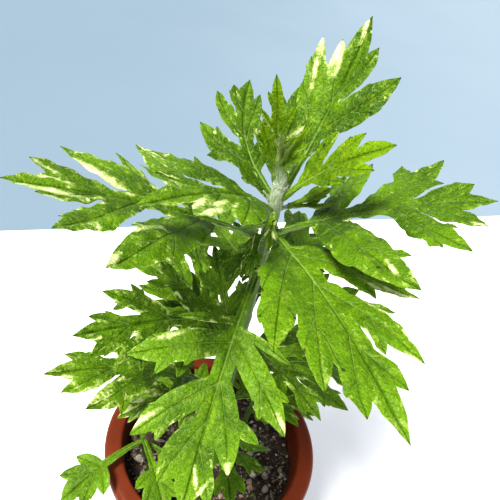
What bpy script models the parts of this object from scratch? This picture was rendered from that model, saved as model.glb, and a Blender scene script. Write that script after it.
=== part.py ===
"""A variegated mugwort in a plastic nursery pot, in metres with +Z up and the pot's base on z = 0.

The pot's axis is the Z axis. Lengths in the tables below are millimetres and angles are degrees.
A heading is measured from +X towards +Y, so 270 points to the viewer who stands at -Y.
"""

import math
from collections import namedtuple

import bmesh
import bpy
from mathutils import Vector, noise
from mathutils.geometry import delaunay_2d_cdt

MM = 0.001
TOUCH_GAP = 0.3

POT_HEIGHT = 90.0
POT_RIM_RADIUS = 53.4
POT_MOUTH_RADIUS = 44.6
POT_BASE_RADIUS = 34.0
POT_WALL = 1.3
POT_FLOOR = 1.8
POT_SKIRT = 10.0
POT_LIP = 2.0
FLOOR_CORNER = 1.5
POT_STEPS = 40
DRAIN_HOLES = 6
DRAIN_RADIUS = 3.2
DRAIN_CIRCLE = 24.0

SOIL_LEVEL = POT_HEIGHT - 13.0
SOIL_RELIEF = 1.6
SOIL_RINGS = 8
SOIL_STEPS = 30
LUMP_PITCH = 0.16
GRIT_PITCH = 0.40
MOUND_HEIGHT = 1.5
MOUND_REACH = 17.0

STEM_TOP = 246.0
STEM_LEAN = 4.8
STEM_BOW = 1.2
STEM_FOOT_RADIUS = 2.6
STEM_TOP_RADIUS = 2.1
ROOT_DEPTH = 18.0
NECK = 1.5

BLADE_THICKNESS = 0.64
PETIOLE_HALF_WIDTH = 1.2
PETIOLE_DEPTH = 1.3
MIDRIB_STEPS = 24
OUTLINE_MERGE = 0.1
VEIN_MERGE = 0.35
LOBE_BOW = 0.04
LOBE_FOOT = 0.67
LOBE_SWELL = 1.11
LOBE_TAPER = 2.4
RIPPLE_PITCH = 0.21
RIPPLE_EDGE = 0.25
NORMAL_STEP = 0.2
SPROUT_REACH = 3.4

Leaf = namedtuple("Leaf", "name form height heading rise droop sway roll length")
Form = namedtuple("Form", "petiole rachis breadth fold curl ripple lobes")
Shoot = namedtuple("Shoot", "name root foot heading rise reach radii leaves")
Small = namedtuple("Small", "form share heading rise droop roll length")


def lobe(start, along, beside, *teeth, slim=0.17):
    """A lobe of a leaf. start is a share of the vein that it leaves. Its tip is along the midrib and
    beside it, in shares of the leaf's length, and + beside is the left of someone who walks from the
    stem to the leaf's tip. slim is half its width as a share of its own length."""
    return start, along, beside, slim, teeth


FORMS = {
    "front": Form(0.22, 0.043, 0.074, 9, 0.0025, 0.6, (
        lobe(0.23, 0.30, -0.25, slim=0.075),
        lobe(
            0.32, 0.495, -0.38, lobe(0.30, 0.47, -0.15), lobe(0.50, 0.53, -0.25),
            lobe(0.50, 0.40, -0.32), slim=0.15
        ),
        lobe(0.49, 0.76, -0.27, lobe(0.50, 0.64, -0.24, slim=0.14), lobe(0.50, 0.76, -0.17), slim=0.145),
        lobe(0.64, 0.90, -0.12, slim=0.22),
        lobe(0.26, 0.34, 0.26, slim=0.075),
        lobe(0.29, 0.61, 0.305, lobe(0.50, 0.48, 0.29), lobe(0.50, 0.58, 0.19), slim=0.13),
        lobe(0.47, 0.81, 0.135, lobe(0.40, 0.67, 0.22), slim=0.155),
        lobe(0.74, 0.94, 0.09),
    )),
    "broad": Form(0.12, 0.046, 0.052, 8, 0.004, 0.8, (
        lobe(0.14, 0.29, 0.24, slim=0.09),
        lobe(
            0.18, 0.54, 0.32, lobe(0.52, 0.50, 0.17, slim=0.17), lobe(0.50, 0.43, 0.31, slim=0.175),
            slim=0.125
        ),
        lobe(0.38, 0.785, 0.175, lobe(0.30, 0.575, 0.20, slim=0.175), lobe(0.50, 0.725, 0.075), slim=0.125),
        lobe(0.67, 0.855, 0.075, slim=0.18),
        lobe(0.14, 0.39, -0.21, slim=0.11),
        lobe(0.18, 0.66, -0.28, lobe(0.45, 0.54, -0.155, slim=0.16), lobe(0.50, 0.50, -0.26), slim=0.12),
        lobe(0.36, 0.81, -0.180, lobe(0.40, 0.67, -0.185, slim=0.20), lobe(0.50, 0.75, -0.09), slim=0.125),
        lobe(0.62, 0.91, -0.095, slim=0.17),
    )),
    "spread": Form(0.22, 0.060, 0.081, 6, 0.003, 0.8, (
        lobe(0.25, 0.695, -0.56, lobe(0.54, 0.66, -0.35, slim=0.18), lobe(0.50, 0.55, -0.435), slim=0.13),
        lobe(
            0.58, 0.865, -0.38, lobe(0.45, 0.77, -0.35, slim=0.14), lobe(0.39, 0.83, -0.22, slim=0.185),
            slim=0.13
        ),
        lobe(0.70, 0.935, -0.21, slim=0.18),
        lobe(0.23, 0.45, 0.425, lobe(0.41, 0.24, 0.46, slim=0.20), lobe(0.50, 0.44, 0.245), slim=0.19),
        lobe(
            0.47, 0.805, 0.34, lobe(0.48, 0.60, 0.40, slim=0.185), lobe(0.50, 0.795, 0.16, slim=0.175),
            slim=0.20
        ),
        lobe(0.70, 0.92, 0.12, slim=0.26),
    )),
    "upright": Form(0.20, 0.045, 0.066, 10, 0.004, 0.6, (
        lobe(0.23, 0.83, 0.205, lobe(0.60, 0.715, 0.22), lobe(0.40, 0.575, 0.195), slim=0.10),
        lobe(0.54, 0.85, 0.095, slim=0.155),
        lobe(0.38, 0.785, -0.285, lobe(0.45, 0.705, -0.16), lobe(0.40, 0.57, -0.23), slim=0.165),
        lobe(0.58, 0.875, -0.11, slim=0.18),
    )),
    "long": Form(0.28, 0.040, 0.07, 8, 0.004, 0.8, (
        lobe(0.30, 0.375, -0.56, lobe(0.40, 0.46, -0.285, slim=0.18), slim=0.13),
        lobe(0.45, 0.57, -0.28, slim=0.12),
        lobe(0.44, 0.77, -0.26, slim=0.165),
        lobe(0.66, 0.90, -0.12, slim=0.20),
        lobe(
            0.29, 0.795, 0.38, lobe(0.60, 0.725, 0.275), lobe(0.40, 0.645, 0.16),
            lobe(0.42, 0.575, 0.35, slim=0.185), slim=0.13
        ),
        lobe(0.56, 0.92, 0.26, lobe(0.60, 0.88, 0.18), slim=0.115),
        lobe(0.70, 0.92, 0.07, slim=0.20),
    )),
    "near": Form(0.22, 0.055, 0.073, 8, 0.004, 0.8, (
        lobe(
            0.21, 0.625, -0.43, lobe(0.42, 0.345, -0.395, slim=0.195), lobe(0.52, 0.655, -0.23),
            slim=0.185
        ),
        lobe(0.50, 0.785, -0.18, slim=0.20),
        lobe(0.23, 0.635, 0.315, lobe(0.50, 0.46, 0.28), slim=0.185),
        lobe(0.46, 0.84, 0.215, lobe(0.50, 0.72, 0.25), slim=0.18),
    )),
    "side": Form(0.26, 0.044, 0.062, 8, 0.004, 0.8, (
        lobe(0.30, 0.485, -0.39, lobe(0.50, 0.57, -0.22, slim=0.15), lobe(0.50, 0.40, -0.31), slim=0.14),
        lobe(0.47, 0.81, -0.20, lobe(0.40, 0.66, -0.22), lobe(0.60, 0.78, -0.095), slim=0.135),
        lobe(0.70, 0.905, -0.08, slim=0.16),
        lobe(0.30, 0.55, 0.32, lobe(0.50, 0.43, 0.28), lobe(0.50, 0.54, 0.18), slim=0.14),
        lobe(0.50, 0.86, 0.22, lobe(0.50, 0.72, 0.25), slim=0.15),
        lobe(0.70, 0.94, 0.12, slim=0.185),
    )),
    "mid": Form(0.26, 0.050, 0.062, 8, 0.004, 1.0, (
        lobe(0.28, 0.52, 0.33, lobe(0.5, 0.40, 0.30), lobe(0.5, 0.53, 0.21)),
        lobe(0.48, 0.76, 0.24, lobe(0.5, 0.76, 0.15)),
        lobe(0.70, 0.91, 0.10),
        lobe(0.30, 0.54, -0.33, lobe(0.5, 0.42, -0.30), lobe(0.5, 0.55, -0.21)),
        lobe(0.50, 0.78, -0.24, lobe(0.5, 0.78, -0.15)),
        lobe(0.72, 0.92, -0.10),
    )),
    "fan": Form(0.18, 0.045, 0.063, 8, 0.004, 0.6, (
        lobe(0.21, 0.555, 0.28, lobe(0.58, 0.55, 0.17), lobe(0.37, 0.33, 0.275, slim=0.24), slim=0.185),
        lobe(0.47, 0.82, 0.185, lobe(0.50, 0.65, 0.16), slim=0.14),
        lobe(0.70, 0.915, 0.09, slim=0.19),
        lobe(0.22, 0.58, -0.195, slim=0.13),
        lobe(0.43, 0.87, -0.095, slim=0.115),
    )),
    "young": Form(0.14, 0.060, 0.075, 14, 0.006, 0.3, (
        lobe(0.24, 0.58, 0.22, slim=0.15),
        lobe(0.50, 0.82, 0.13, slim=0.18),
        lobe(0.28, 0.62, -0.22, slim=0.15),
        lobe(0.54, 0.85, -0.13, slim=0.18),
    )),
    "steep": Form(0.14, 0.048, 0.078, 14, 0.006, 0.3, (
        lobe(0.19, 0.605, 0.225, lobe(0.50, 0.46, 0.18), slim=0.14),
        lobe(0.44, 0.795, 0.135, lobe(0.40, 0.68, 0.15), slim=0.145),
        lobe(0.30, 0.65, -0.20, lobe(0.50, 0.51, -0.17), slim=0.125),
        lobe(0.48, 0.87, -0.165, slim=0.15),
    )),
    "crown": Form(0.10, 0.062, 0.058, 12, 0.006, 0.0, (
        lobe(0.16, 0.46, 0.26, slim=0.10),
        lobe(0.34, 0.68, 0.17, slim=0.11),
        lobe(0.62, 0.84, 0.09, slim=0.14),
        lobe(0.18, 0.54, -0.29, slim=0.10),
        lobe(0.36, 0.70, -0.19, slim=0.11),
    )),
    "oval": Form(0.28, 0.14, 0.18, 10, 0.010, 0.3, (
        lobe(0.44, 0.78, 0.24, slim=0.24),
        lobe(0.48, 0.82, -0.22, slim=0.24),
    )),
    "bud": Form(0.16, 0.075, 0.100, 16, 0.006, 0.0, (
        lobe(0.34, 0.70, 0.20, slim=0.18),
        lobe(0.38, 0.74, -0.20, slim=0.18),
    )),
    "juvenile": Form(0.50, 0.10, 0.130, 8, 0.006, 0.8, (
        lobe(0.52, 0.66, 0.26, slim=0.24),
        lobe(0.60, 0.88, 0.20, slim=0.24),
        lobe(0.52, 0.66, -0.26, slim=0.24),
        lobe(0.60, 0.88, -0.20, slim=0.24),
    )),
}

# From the foot of the stem to its top. Each leaf's heading is about 137.5 degrees past the last one's.
LEAVES = (
    Leaf("Leaf_01", "mid", 92, 140, 35, 60, 0, 0, 58),
    Leaf("Leaf_02", "mid", 104, 282, 52, 46, 0, 0, 61),
    Leaf("Leaf_03", "mid", 110, 55, 38, 60, 0, 0, 62),
    Leaf("Leaf_04", "mid", 119, 203, 56, 100, 6, 0, 53),
    Leaf("Leaf_05", "mid", 126, 348.5, 47.5, 76.5, 10, 0, 45.5),
    Leaf("Leaf_06", "mid", 134, 120.5, 49.5, 34.5, 0, 0, 82.5),
    Leaf("Leaf_07", "side", 130, 211, 57, 58, -3, 0, 87.5),
    Leaf("Leaf_08", "mid", 148, 16, 16, 68, 10, 0, 80),
    Leaf("Leaf_09", "mid", 160, 148.5, 32, 34, 8, 0, 60.5),
    Leaf("Leaf_10", "mid", 168, 312, 34, 50, 0, 0, 50),
    Leaf("Leaf_11", "mid", 180, 75, 30, 50, 0, 0, 76),
    Leaf("Leaf_12", "side", 182, 219, 26, 23.5, -4, -24, 68.5),
    Leaf("Leaf_13", "mid", 197, 0, 12, 40, 0, 0, 52),
    Leaf("Leaf_14", "mid", 201, 123.5, 10, 42, 0, 0, 62.5),
    Leaf("Leaf_15", "front", 206, 261.5, -11, 46, 3, -6, 86),
    Leaf("Leaf_16", "mid", 212, 42, 6, 30, 0, 0, 62),
    Leaf("Leaf_17", "long", 224, 211, 30, 12, 5, 0, 88),
    Leaf("Leaf_18", "broad", 228, 298, 16, 25, -2, 0, 87),
    Leaf("Leaf_19", "young", 233, 92, 44, 23, -11, 0, 55),
    Leaf("Leaf_20", "spread", 227, 347, 43, 28, 9, 0, 72),
    Leaf("Leaf_21", "near", 238, 230.5, 40.5, 41, -2, 0, 57.5),
    Leaf("Leaf_22", "fan", 240, 131, 14, -5.5, -46, 0, 59),
    Leaf("Leaf_23", "upright", 241, 63, 44.5, -26.5, -5, 0, 64),
    Leaf("Leaf_24", "steep", 243, 329.5, 61, 26, 4, 44.5, 44),
)

def stem_centre(height):
    """The middle of the main stem at this height: upright in the soil, then leaning a little to +X."""
    share = max(0.0, (height - SOIL_LEVEL) / (STEM_TOP - SOIL_LEVEL))
    return Vector((STEM_LEAN * share, STEM_BOW * math.sin(math.pi * share), height))


def stem_radius(height):
    share = max(0.0, (height - SOIL_LEVEL) / (STEM_TOP - SOIL_LEVEL))
    return STEM_FOOT_RADIUS + (STEM_TOP_RADIUS - STEM_FOOT_RADIUS) * share


def pot_inner_radius(height):
    """The pot's inner radius at this height above its base."""
    share = (height - POT_FLOOR) / (POT_HEIGHT - POT_LIP - POT_FLOOR)
    return POT_BASE_RADIUS - POT_WALL + (POT_MOUTH_RADIUS - POT_BASE_RADIUS + POT_WALL) * share


def beside_stem(height, heading):
    """A place just off the main stem's side at this height."""
    turn = math.radians(heading)
    clear = stem_radius(height) + TOUCH_GAP + 0.4
    return stem_centre(height) + Vector((math.cos(turn), math.sin(turn), 0)) * clear


def sprout(name, height, heading, rise, *leaves):
    """A side bud on the main stem, which has only begun to grow."""
    return Shoot(name, 0, beside_stem(height, heading), heading, rise, SPROUT_REACH, (0.75, 0.5), leaves)


SUCKERS = (
    Shoot("Sucker_Left", ROOT_DEPTH, Vector((-32, -10, SOIL_LEVEL)), 200, 86, 20, (1.5, 1.0), (
        Small("juvenile", 0.84, 231, 15, 42, 0, 45.5),
        Small("juvenile", 0.90, 300, 24, 46, 0, 40),
        Small("juvenile", 0.70, 338, 26, 50, 0, 21),
        Small("juvenile", 0.97, 118, 44, 60, 0, 30),
        Small("bud", 0.99, 40, 70, 30, 0, 14),
    )),
    Shoot("Sucker_Back", ROOT_DEPTH, Vector((15, 18, SOIL_LEVEL)), 60, 76, 24, (1.5, 1.0), (
        Small("juvenile", 0.62, 20, 34, 50, 0, 34),
        Small("juvenile", 0.80, 157, 40, 50, 0, 30),
        Small("juvenile", 0.92, 290, 48, 50, 0, 24),
        Small("bud", 0.99, 70, 70, 30, 0, 15),
    )),
)
CROWN = Shoot("Shoot_Tip", NECK, stem_centre(STEM_TOP + TOUCH_GAP + NECK), 190, 68, 8.5, (1.85, 1.1), (
    Small("crown", 0.66, 180, 79, 2, -84, 30),
    Small("crown", 0.56, 24, 62, -6, 40, 18),
    Small("bud", 0.60, 205, 56, -10, -70, 18),
    Small("bud", 0.84, 262, 76, 8, 0, 13),
    Small("bud", 0.72, 322, 64, -6, 20, 12),
))
SPROUTS = (
    sprout("Sprout_01", 162.5, 154, 62,
           Small("mid", 0.8, 126, 60, 16, 0, 41), Small("bud", 0.9, 200, 62, 30, 0, 12)),
    sprout("Sprout_02", 183, 76, 52,
           Small("bud", 0.8, 76, 40, 30, 0, 17), Small("bud", 0.9, 10, 62, 30, 0, 12)),
    sprout("Sprout_03", 210, 262, 46,
           Small("bud", 0.8, 248, 24, 30, 20, 12), Small("bud", 0.9, 300, 50, 20, 0, 9)),
    sprout("Sprout_04", 226, 236, 2,
           Small("oval", 0.8, 236, -30, 26, 0, 19), Small("bud", 0.9, 268, -14, 40, 0, 15)),
    sprout("Sprout_05", 236, 272, 10,
           Small("bud", 0.8, 272, -20, 26, 0, 12), Small("bud", 0.9, 248, 10, 40, 0, 7)),
    sprout("Sprout_06", 237, 12, 20,
           Small("oval", 0.8, 22, 30, 4, 0, 15), Small("bud", 0.9, 0, 12, -4, 0, 14)),
    sprout("Sprout_07", 240, 182, 46,
           Small("oval", 0.8, 196, 42, -10, -30, 15), Small("bud", 0.9, 150, 40, 0, 0, 8)),
)


def material(name, colour, roughness):
    made = bpy.data.materials.new(name)
    made.use_nodes = True
    shader = made.node_tree.nodes["Principled BSDF"]
    shader.inputs["Base Color"].default_value = (*colour, 1)
    shader.inputs["Roughness"].default_value = roughness
    made.diffuse_color = (*colour, 1)
    return made


def add_object(name, mesh, collection, look=None):
    made = bpy.data.objects.new(name, mesh)
    collection.objects.link(made)
    if look:
        mesh.materials.clear()
        mesh.materials.append(look)
    return made


def mesh_from(name, points, faces):
    """A mesh from points in millimetres, with its normals turned outwards."""
    shape = bmesh.new()
    corners = [shape.verts.new(point * MM) for point in points]
    for face in faces:
        shape.faces.new([corners[index] for index in face])
    bmesh.ops.recalc_face_normals(shape, faces=shape.faces)
    mesh = bpy.data.meshes.new(name)
    shape.to_mesh(mesh)
    shape.free()
    return mesh


def evaluated_copy(source, name):
    """A mesh of the object as its modifiers or its bevel make it, in world space."""
    graph = bpy.context.evaluated_depsgraph_get()
    mesh = bpy.data.meshes.new_from_object(source.evaluated_get(graph))
    mesh.name = name
    mesh.transform(source.matrix_world)
    shape = bmesh.new()
    shape.from_mesh(mesh)
    bmesh.ops.remove_doubles(shape, verts=shape.verts, dist=0.001 * MM)
    bmesh.ops.recalc_face_normals(shape, faces=shape.faces)
    shape.to_mesh(mesh)
    shape.free()
    return mesh


def tube(name, points, radii, collection, sides=2):
    """A solid rod along points in millimetres, as a mesh object."""
    curve = bpy.data.curves.new(name, "CURVE")
    curve.dimensions = "3D"
    curve.bevel_depth = MM
    curve.bevel_resolution = sides
    curve.use_fill_caps = True
    spline = curve.splines.new("POLY")
    spline.points.add(len(points) - 1)
    for knot, point, radius in zip(spline.points, points, radii):
        knot.co = (*(point * MM), 1)
        knot.radius = radius
    guide = bpy.data.objects.new(name + "_guide", curve)
    collection.objects.link(guide)
    bpy.context.view_layer.update()
    mesh = evaluated_copy(guide, name)
    bpy.data.objects.remove(guide)
    bpy.data.curves.remove(curve)
    return add_object(name, mesh, collection)


def cylinder(name, place, radius, depth, sides, collection):
    """A cutter that stands upright, in millimetres, with its middle at place."""
    shape = bmesh.new()
    bmesh.ops.create_cone(
        shape, cap_ends=True, segments=sides, radius1=radius * MM, radius2=radius * MM, depth=depth * MM
    )
    mesh = bpy.data.meshes.new(name)
    shape.to_mesh(mesh)
    shape.free()
    made = add_object(name, mesh, collection)
    made.location = Vector(place) * MM
    made.hide_render = True
    made.display_type = "WIRE"
    return made


def cut(target, cutters):
    """Takes each cutter away from the target by a Boolean modifier."""
    for cutter in cutters:
        modifier = target.modifiers.new(cutter.name, "BOOLEAN")
        modifier.operation = "DIFFERENCE"
        modifier.solver = "EXACT"
        modifier.object = cutter


def fuse(name, pieces, collection, look):
    """One object from pieces that overlap, which are then removed."""
    group = bpy.data.collections.new(name + "_pieces")
    bpy.context.scene.collection.children.link(group)
    first, *others = pieces
    for piece in others:
        group.objects.link(piece)
        collection.objects.unlink(piece)
    union = first.modifiers.new("Union", "BOOLEAN")
    union.operation = "UNION"
    union.solver = "MANIFOLD"
    union.operand_type = "COLLECTION"
    union.collection = group
    bpy.context.view_layer.update()
    mesh = evaluated_copy(first, name)
    for piece in pieces:
        bpy.data.objects.remove(piece)
    bpy.data.collections.remove(group)
    return add_object(name, mesh, collection, look)


def vein_points(root, tip, steps):
    """A lobe's vein: it leaves the midrib wide and bends forward to its tip."""
    reach = tip - root
    outward = Vector((-reach.y, reach.x)) * math.copysign(LOBE_BOW, reach.y)
    bend = root + reach * 0.5 + outward
    shares = [step / steps for step in range(steps + 1)]
    return [root * (1 - s) ** 2 + bend * 2 * s * (1 - s) + tip * s**2 for s in shares]


def lobe_outline(vein, half_width):
    """The two edges of a pointed lobe round its vein, widest a third of the way along."""
    sides = [], []
    for index, point in enumerate(vein[:-1]):
        share = index / (len(vein) - 1)
        forward = (vein[index + 1] - vein[max(index - 1, 0)]).normalized()
        width = half_width * (1 - share**LOBE_TAPER) * (LOBE_FOOT + LOBE_SWELL * share)
        across = Vector((-forward.y, forward.x)) * width
        sides[0].append(point + across)
        sides[1].append(point - across)
    return sides[0] + [vein[-1]] + sides[1][::-1]


def lobe_shapes(entry, parent, length, steps):
    """The veins and outlines of a lobe and its teeth, in millimetres on the flat blade."""
    start, along, beside, slim, teeth = entry
    root = point_on(parent, start)
    tip = Vector((along, beside)) * length
    vein = vein_points(root, tip, steps)
    shapes = [(vein, lobe_outline(vein, slim * (tip - root).length))]
    for tooth in teeth:
        shapes += lobe_shapes(tooth, vein, length, max(2, steps // 2))
    return shapes


def anticlockwise(outline):
    area = sum(a.cross(b) for a, b in zip(outline, outline[1:] + outline[:1]))
    return outline if area > 0 else outline[::-1]


def point_on(line, share):
    """The point at this share of a line's steps."""
    place = share * (len(line) - 1)
    index = min(int(place), len(line) - 2)
    return line[index].lerp(line[index + 1], place - index)


def spine_half_width(form, length, share):
    """Half the blade's width at a share of the midrib: petiole, rachis, then the end lobe."""
    stops = (
        (0.0, PETIOLE_HALF_WIDTH), (form.petiole, max(PETIOLE_HALF_WIDTH, form.rachis * length * 0.45)),
        (form.petiole + 0.12, form.rachis * length), (0.66, form.rachis * length),
        (0.80, form.breadth * length), (0.91, form.breadth * length * 0.66), (1.0, 0.0),
    )
    for (low, first), (high, last) in zip(stops, stops[1:]):
        if share <= high:
            blend = (share - low) / (high - low)
            return first + (last - first) * blend
    return 0.0


def flat_blade(form, length, steps, spine_steps, fineness):
    """The leaf cut out flat, as (points, triangles): its lobes joined, then split anew along its veins."""
    spine = [Vector((length * step / spine_steps, 0)) for step in range(spine_steps + 1)]
    edge = [
        Vector((point.x, spine_half_width(form, length, step / spine_steps)))
        for step, point in enumerate(spine[:-1])
    ]
    outlines = [edge + [spine[-1]] + [Vector((p.x, -p.y)) for p in reversed(edge)]]
    veins = [spine]
    for entry in form.lobes:
        shapes = lobe_shapes(entry, spine, length, steps)
        veins.append(shapes[0][0])
        outlines += [outline for vein, outline in shapes]
    rim = thinned(joined_outline(outlines), fineness)
    points, edges = list(rim), []
    for vein in veins:
        first = len(points)
        points += vein
        edges += [(first + i, first + i + 1) for i in range(len(vein) - 1)]
    made = delaunay_2d_cdt(points, edges, [list(range(len(rim)))], 1, VEIN_MERGE, True)
    return made[0], [face for face, inside in zip(made[2], made[5]) if inside]


def joined_outline(outlines):
    """The outer edge of shapes that overlap, anticlockwise."""
    points, faces = [], []
    for outline in outlines:
        faces.append(list(range(len(points), len(points) + len(outline))))
        points += anticlockwise(outline)
    made = delaunay_2d_cdt(points, [], faces, 1, OUTLINE_MERGE, True)
    after = {}
    for first, last in rim_edges([face for face, inside in zip(made[2], made[5]) if inside]):
        after.setdefault(first, []).append(last)
    loops, walk = [], []
    while walk or any(after.values()):
        walk = walk or [next(corner for corner, ends in after.items() if ends)]
        corner = after[walk[-1]].pop()
        if corner in walk:
            start = walk.index(corner)
            loops.append([made[0][index] for index in walk[start:]])
            walk = walk[: start + 1] if after[corner] else walk[:start]
        else:
            walk.append(corner)
    return max(loops, key=len)


def thinned(outline, fineness):
    """The outline without the points that lie nearly on the line between their neighbours."""
    kept = list(outline)
    index = 0
    while index < len(kept):
        before, point, after = kept[index - 1], kept[index], kept[(index + 1) % len(kept)]
        chord = (after - before).normalized()
        if abs(chord.cross(point - before)) < fineness and chord.dot(point - before) > 0:
            kept.pop(index)
        else:
            index += 1
    return kept


def rim_edges(triangles):
    """The edges with a triangle on one side only, in the direction in which that triangle has them."""
    sides = {(a, b) for t in triangles for a, b in ((t[0], t[1]), (t[1], t[2]), (t[2], t[0]))}
    return [(a, b) for a, b in sides if (b, a) not in sides]


def pointing(heading, slope):
    """The unit vector with this heading and slope, both in radians."""
    return Vector((math.cos(heading) * math.cos(slope), math.sin(heading) * math.cos(slope), math.sin(slope)))


def midrib_frames(leaf, foot):
    """(place, along, left, up) at even steps from the leaf's foot to its tip."""
    place = foot.copy()
    frames = []
    for step in range(MIDRIB_STEPS + 1):
        share = step / MIDRIB_STEPS
        heading = math.radians(leaf.heading + leaf.sway * share)
        slope = math.radians(leaf.rise - leaf.droop * share)
        along = pointing(heading, slope)
        left = Vector((-math.sin(heading), math.cos(heading), 0))
        up = along.cross(left)
        turn = math.radians(leaf.roll)
        left, up = left * math.cos(turn) + up * math.sin(turn), up * math.cos(turn) - left * math.sin(turn)
        if step:
            place = place + (along + frames[-1][1]) * 0.5 * (leaf.length / MIDRIB_STEPS)
        frames.append((place, along, left, up))
    return frames


def blade_place(leaf, form, frames, along, beside):
    """Where a point of the flat blade lies once the leaf is bent, folded and rippled."""
    place = min(max(along / leaf.length, 0.0), 1.0) * MIDRIB_STEPS
    index = min(int(place), MIDRIB_STEPS - 1)
    blend = place - index
    centre, forward, left, up = (a.lerp(b, blend) for a, b in zip(frames[index], frames[index + 1]))
    fold = math.radians(form.fold)
    wave = math.sin(RIPPLE_PITCH * along + leaf.heading) * min(1.0, abs(beside) / (RIPPLE_EDGE * leaf.length))
    lift = abs(beside) * math.sin(fold) - form.curl * beside**2 + form.ripple * wave
    return centre + forward * max(0.0, along - leaf.length) + left * beside * math.cos(fold) + up * lift


def blade_normal(leaf, form, frames, along, beside):
    """The blade's upward normal at a point, from a small step each way."""
    inner = min(max(along, NORMAL_STEP), leaf.length - NORMAL_STEP)
    ahead = blade_place(leaf, form, frames, inner + NORMAL_STEP, beside)
    behind = blade_place(leaf, form, frames, inner - NORMAL_STEP, beside)
    left = blade_place(leaf, form, frames, along, beside + NORMAL_STEP)
    right = blade_place(leaf, form, frames, along, beside - NORMAL_STEP)
    return (ahead - behind).cross(left - right).normalized()


def keel_depth(leaf, form, point):
    """How far the midrib stands out under the blade."""
    if abs(point.y) > 0.05:
        return 0.0
    share = point.x / leaf.length
    return (PETIOLE_DEPTH - BLADE_THICKNESS / 2) * max(0.0, 1 - share) ** 1.5


def leaf_mesh(leaf, foot, steps=4, spine_steps=9, fineness=0.25):
    """A closed leaf: the cut-out blade bent into place, its underside, and the rim between them."""
    form = FORMS[leaf.form]
    flat, triangles = flat_blade(form, leaf.length, steps, spine_steps, fineness)
    frames = midrib_frames(leaf, foot)
    top, bottom = [], []
    for point in flat:
        place = blade_place(leaf, form, frames, point.x, point.y)
        normal = blade_normal(leaf, form, frames, point.x, point.y)
        top.append(place + normal * BLADE_THICKNESS / 2)
        bottom.append(place - normal * (BLADE_THICKNESS / 2 + keel_depth(leaf, form, point)))
    count = len(flat)
    faces = [tuple(t) for t in triangles]
    faces += [(t[0] + count, t[2] + count, t[1] + count) for t in triangles]
    for a, b in rim_edges(triangles):
        faces += [(b, a, a + count), (b, a + count, b + count)]
    used = sorted({index for face in faces for index in face})
    order = {old: new for new, old in enumerate(used)}
    points = top + bottom
    return mesh_from(leaf.name, [points[i] for i in used], [tuple(order[i] for i in f) for f in faces])


def make_pot(collection, cutters, look):
    """A turned pot with a wide rim, whose skirt hangs free of the wall, and holes in its floor."""
    top, wall = POT_HEIGHT, POT_WALL
    mouth, rim = POT_MOUTH_RADIUS, POT_RIM_RADIUS
    profile = [
        (0, POT_FLOOR), (POT_BASE_RADIUS - wall - 1, POT_FLOOR),
        (POT_BASE_RADIUS - wall + 0.3, POT_FLOOR + FLOOR_CORNER),
        (mouth, top - POT_LIP), (mouth + 0.3, top - 0.7), (mouth + 1.2, top), (rim - 2.6, top - 0.5),
        (rim - 0.9, top - 1.3), (rim, top - 3), (rim - 0.8, top - POT_SKIRT), (rim - 2.0, top - POT_SKIRT),
        (rim - 1.4, top - 3.2), (rim - 2.8, top - 1.9), (mouth + wall + 0.6, top - 1.6),
        (mouth + wall - 0.1, top - 3), (POT_BASE_RADIUS, 1.2), (POT_BASE_RADIUS - 1, 0), (0, 0),
    ]
    mesh = bpy.data.meshes.new("Pot")
    edges = [(i, i + 1) for i in range(len(profile) - 1)]
    mesh.from_pydata([(r * MM, 0, z * MM) for r, z in profile], edges, [])
    pot = add_object("Pot", mesh, collection, look)
    screw = pot.modifiers.new("Turn", "SCREW")
    screw.steps = screw.render_steps = POT_STEPS
    screw.use_merge_vertices = True
    screw.merge_threshold = 0.0001
    screw.use_smooth_shade = True
    holes = []
    for index in range(DRAIN_HOLES):
        turn = math.tau * (index + 0.5) / DRAIN_HOLES
        place = (DRAIN_CIRCLE * math.cos(turn), DRAIN_CIRCLE * math.sin(turn), 0)
        holes.append(cylinder(f"Drain_{index}", place, DRAIN_RADIUS, 4 * POT_FLOOR, 12, cutters))
    cut(pot, holes)
    return pot


def soil_height(x, y):
    """The soil's surface: lumps of a few millimetres, a little higher round the stem."""
    rough = noise.noise(Vector((x, y, 0)) * LUMP_PITCH) + 0.6 * noise.noise(Vector((x, y, 9)) * GRIT_PITCH)
    mound = MOUND_HEIGHT * math.exp(-(x * x + y * y) / MOUND_REACH**2)
    return SOIL_LEVEL + SOIL_RELIEF * rough + mound


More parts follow.
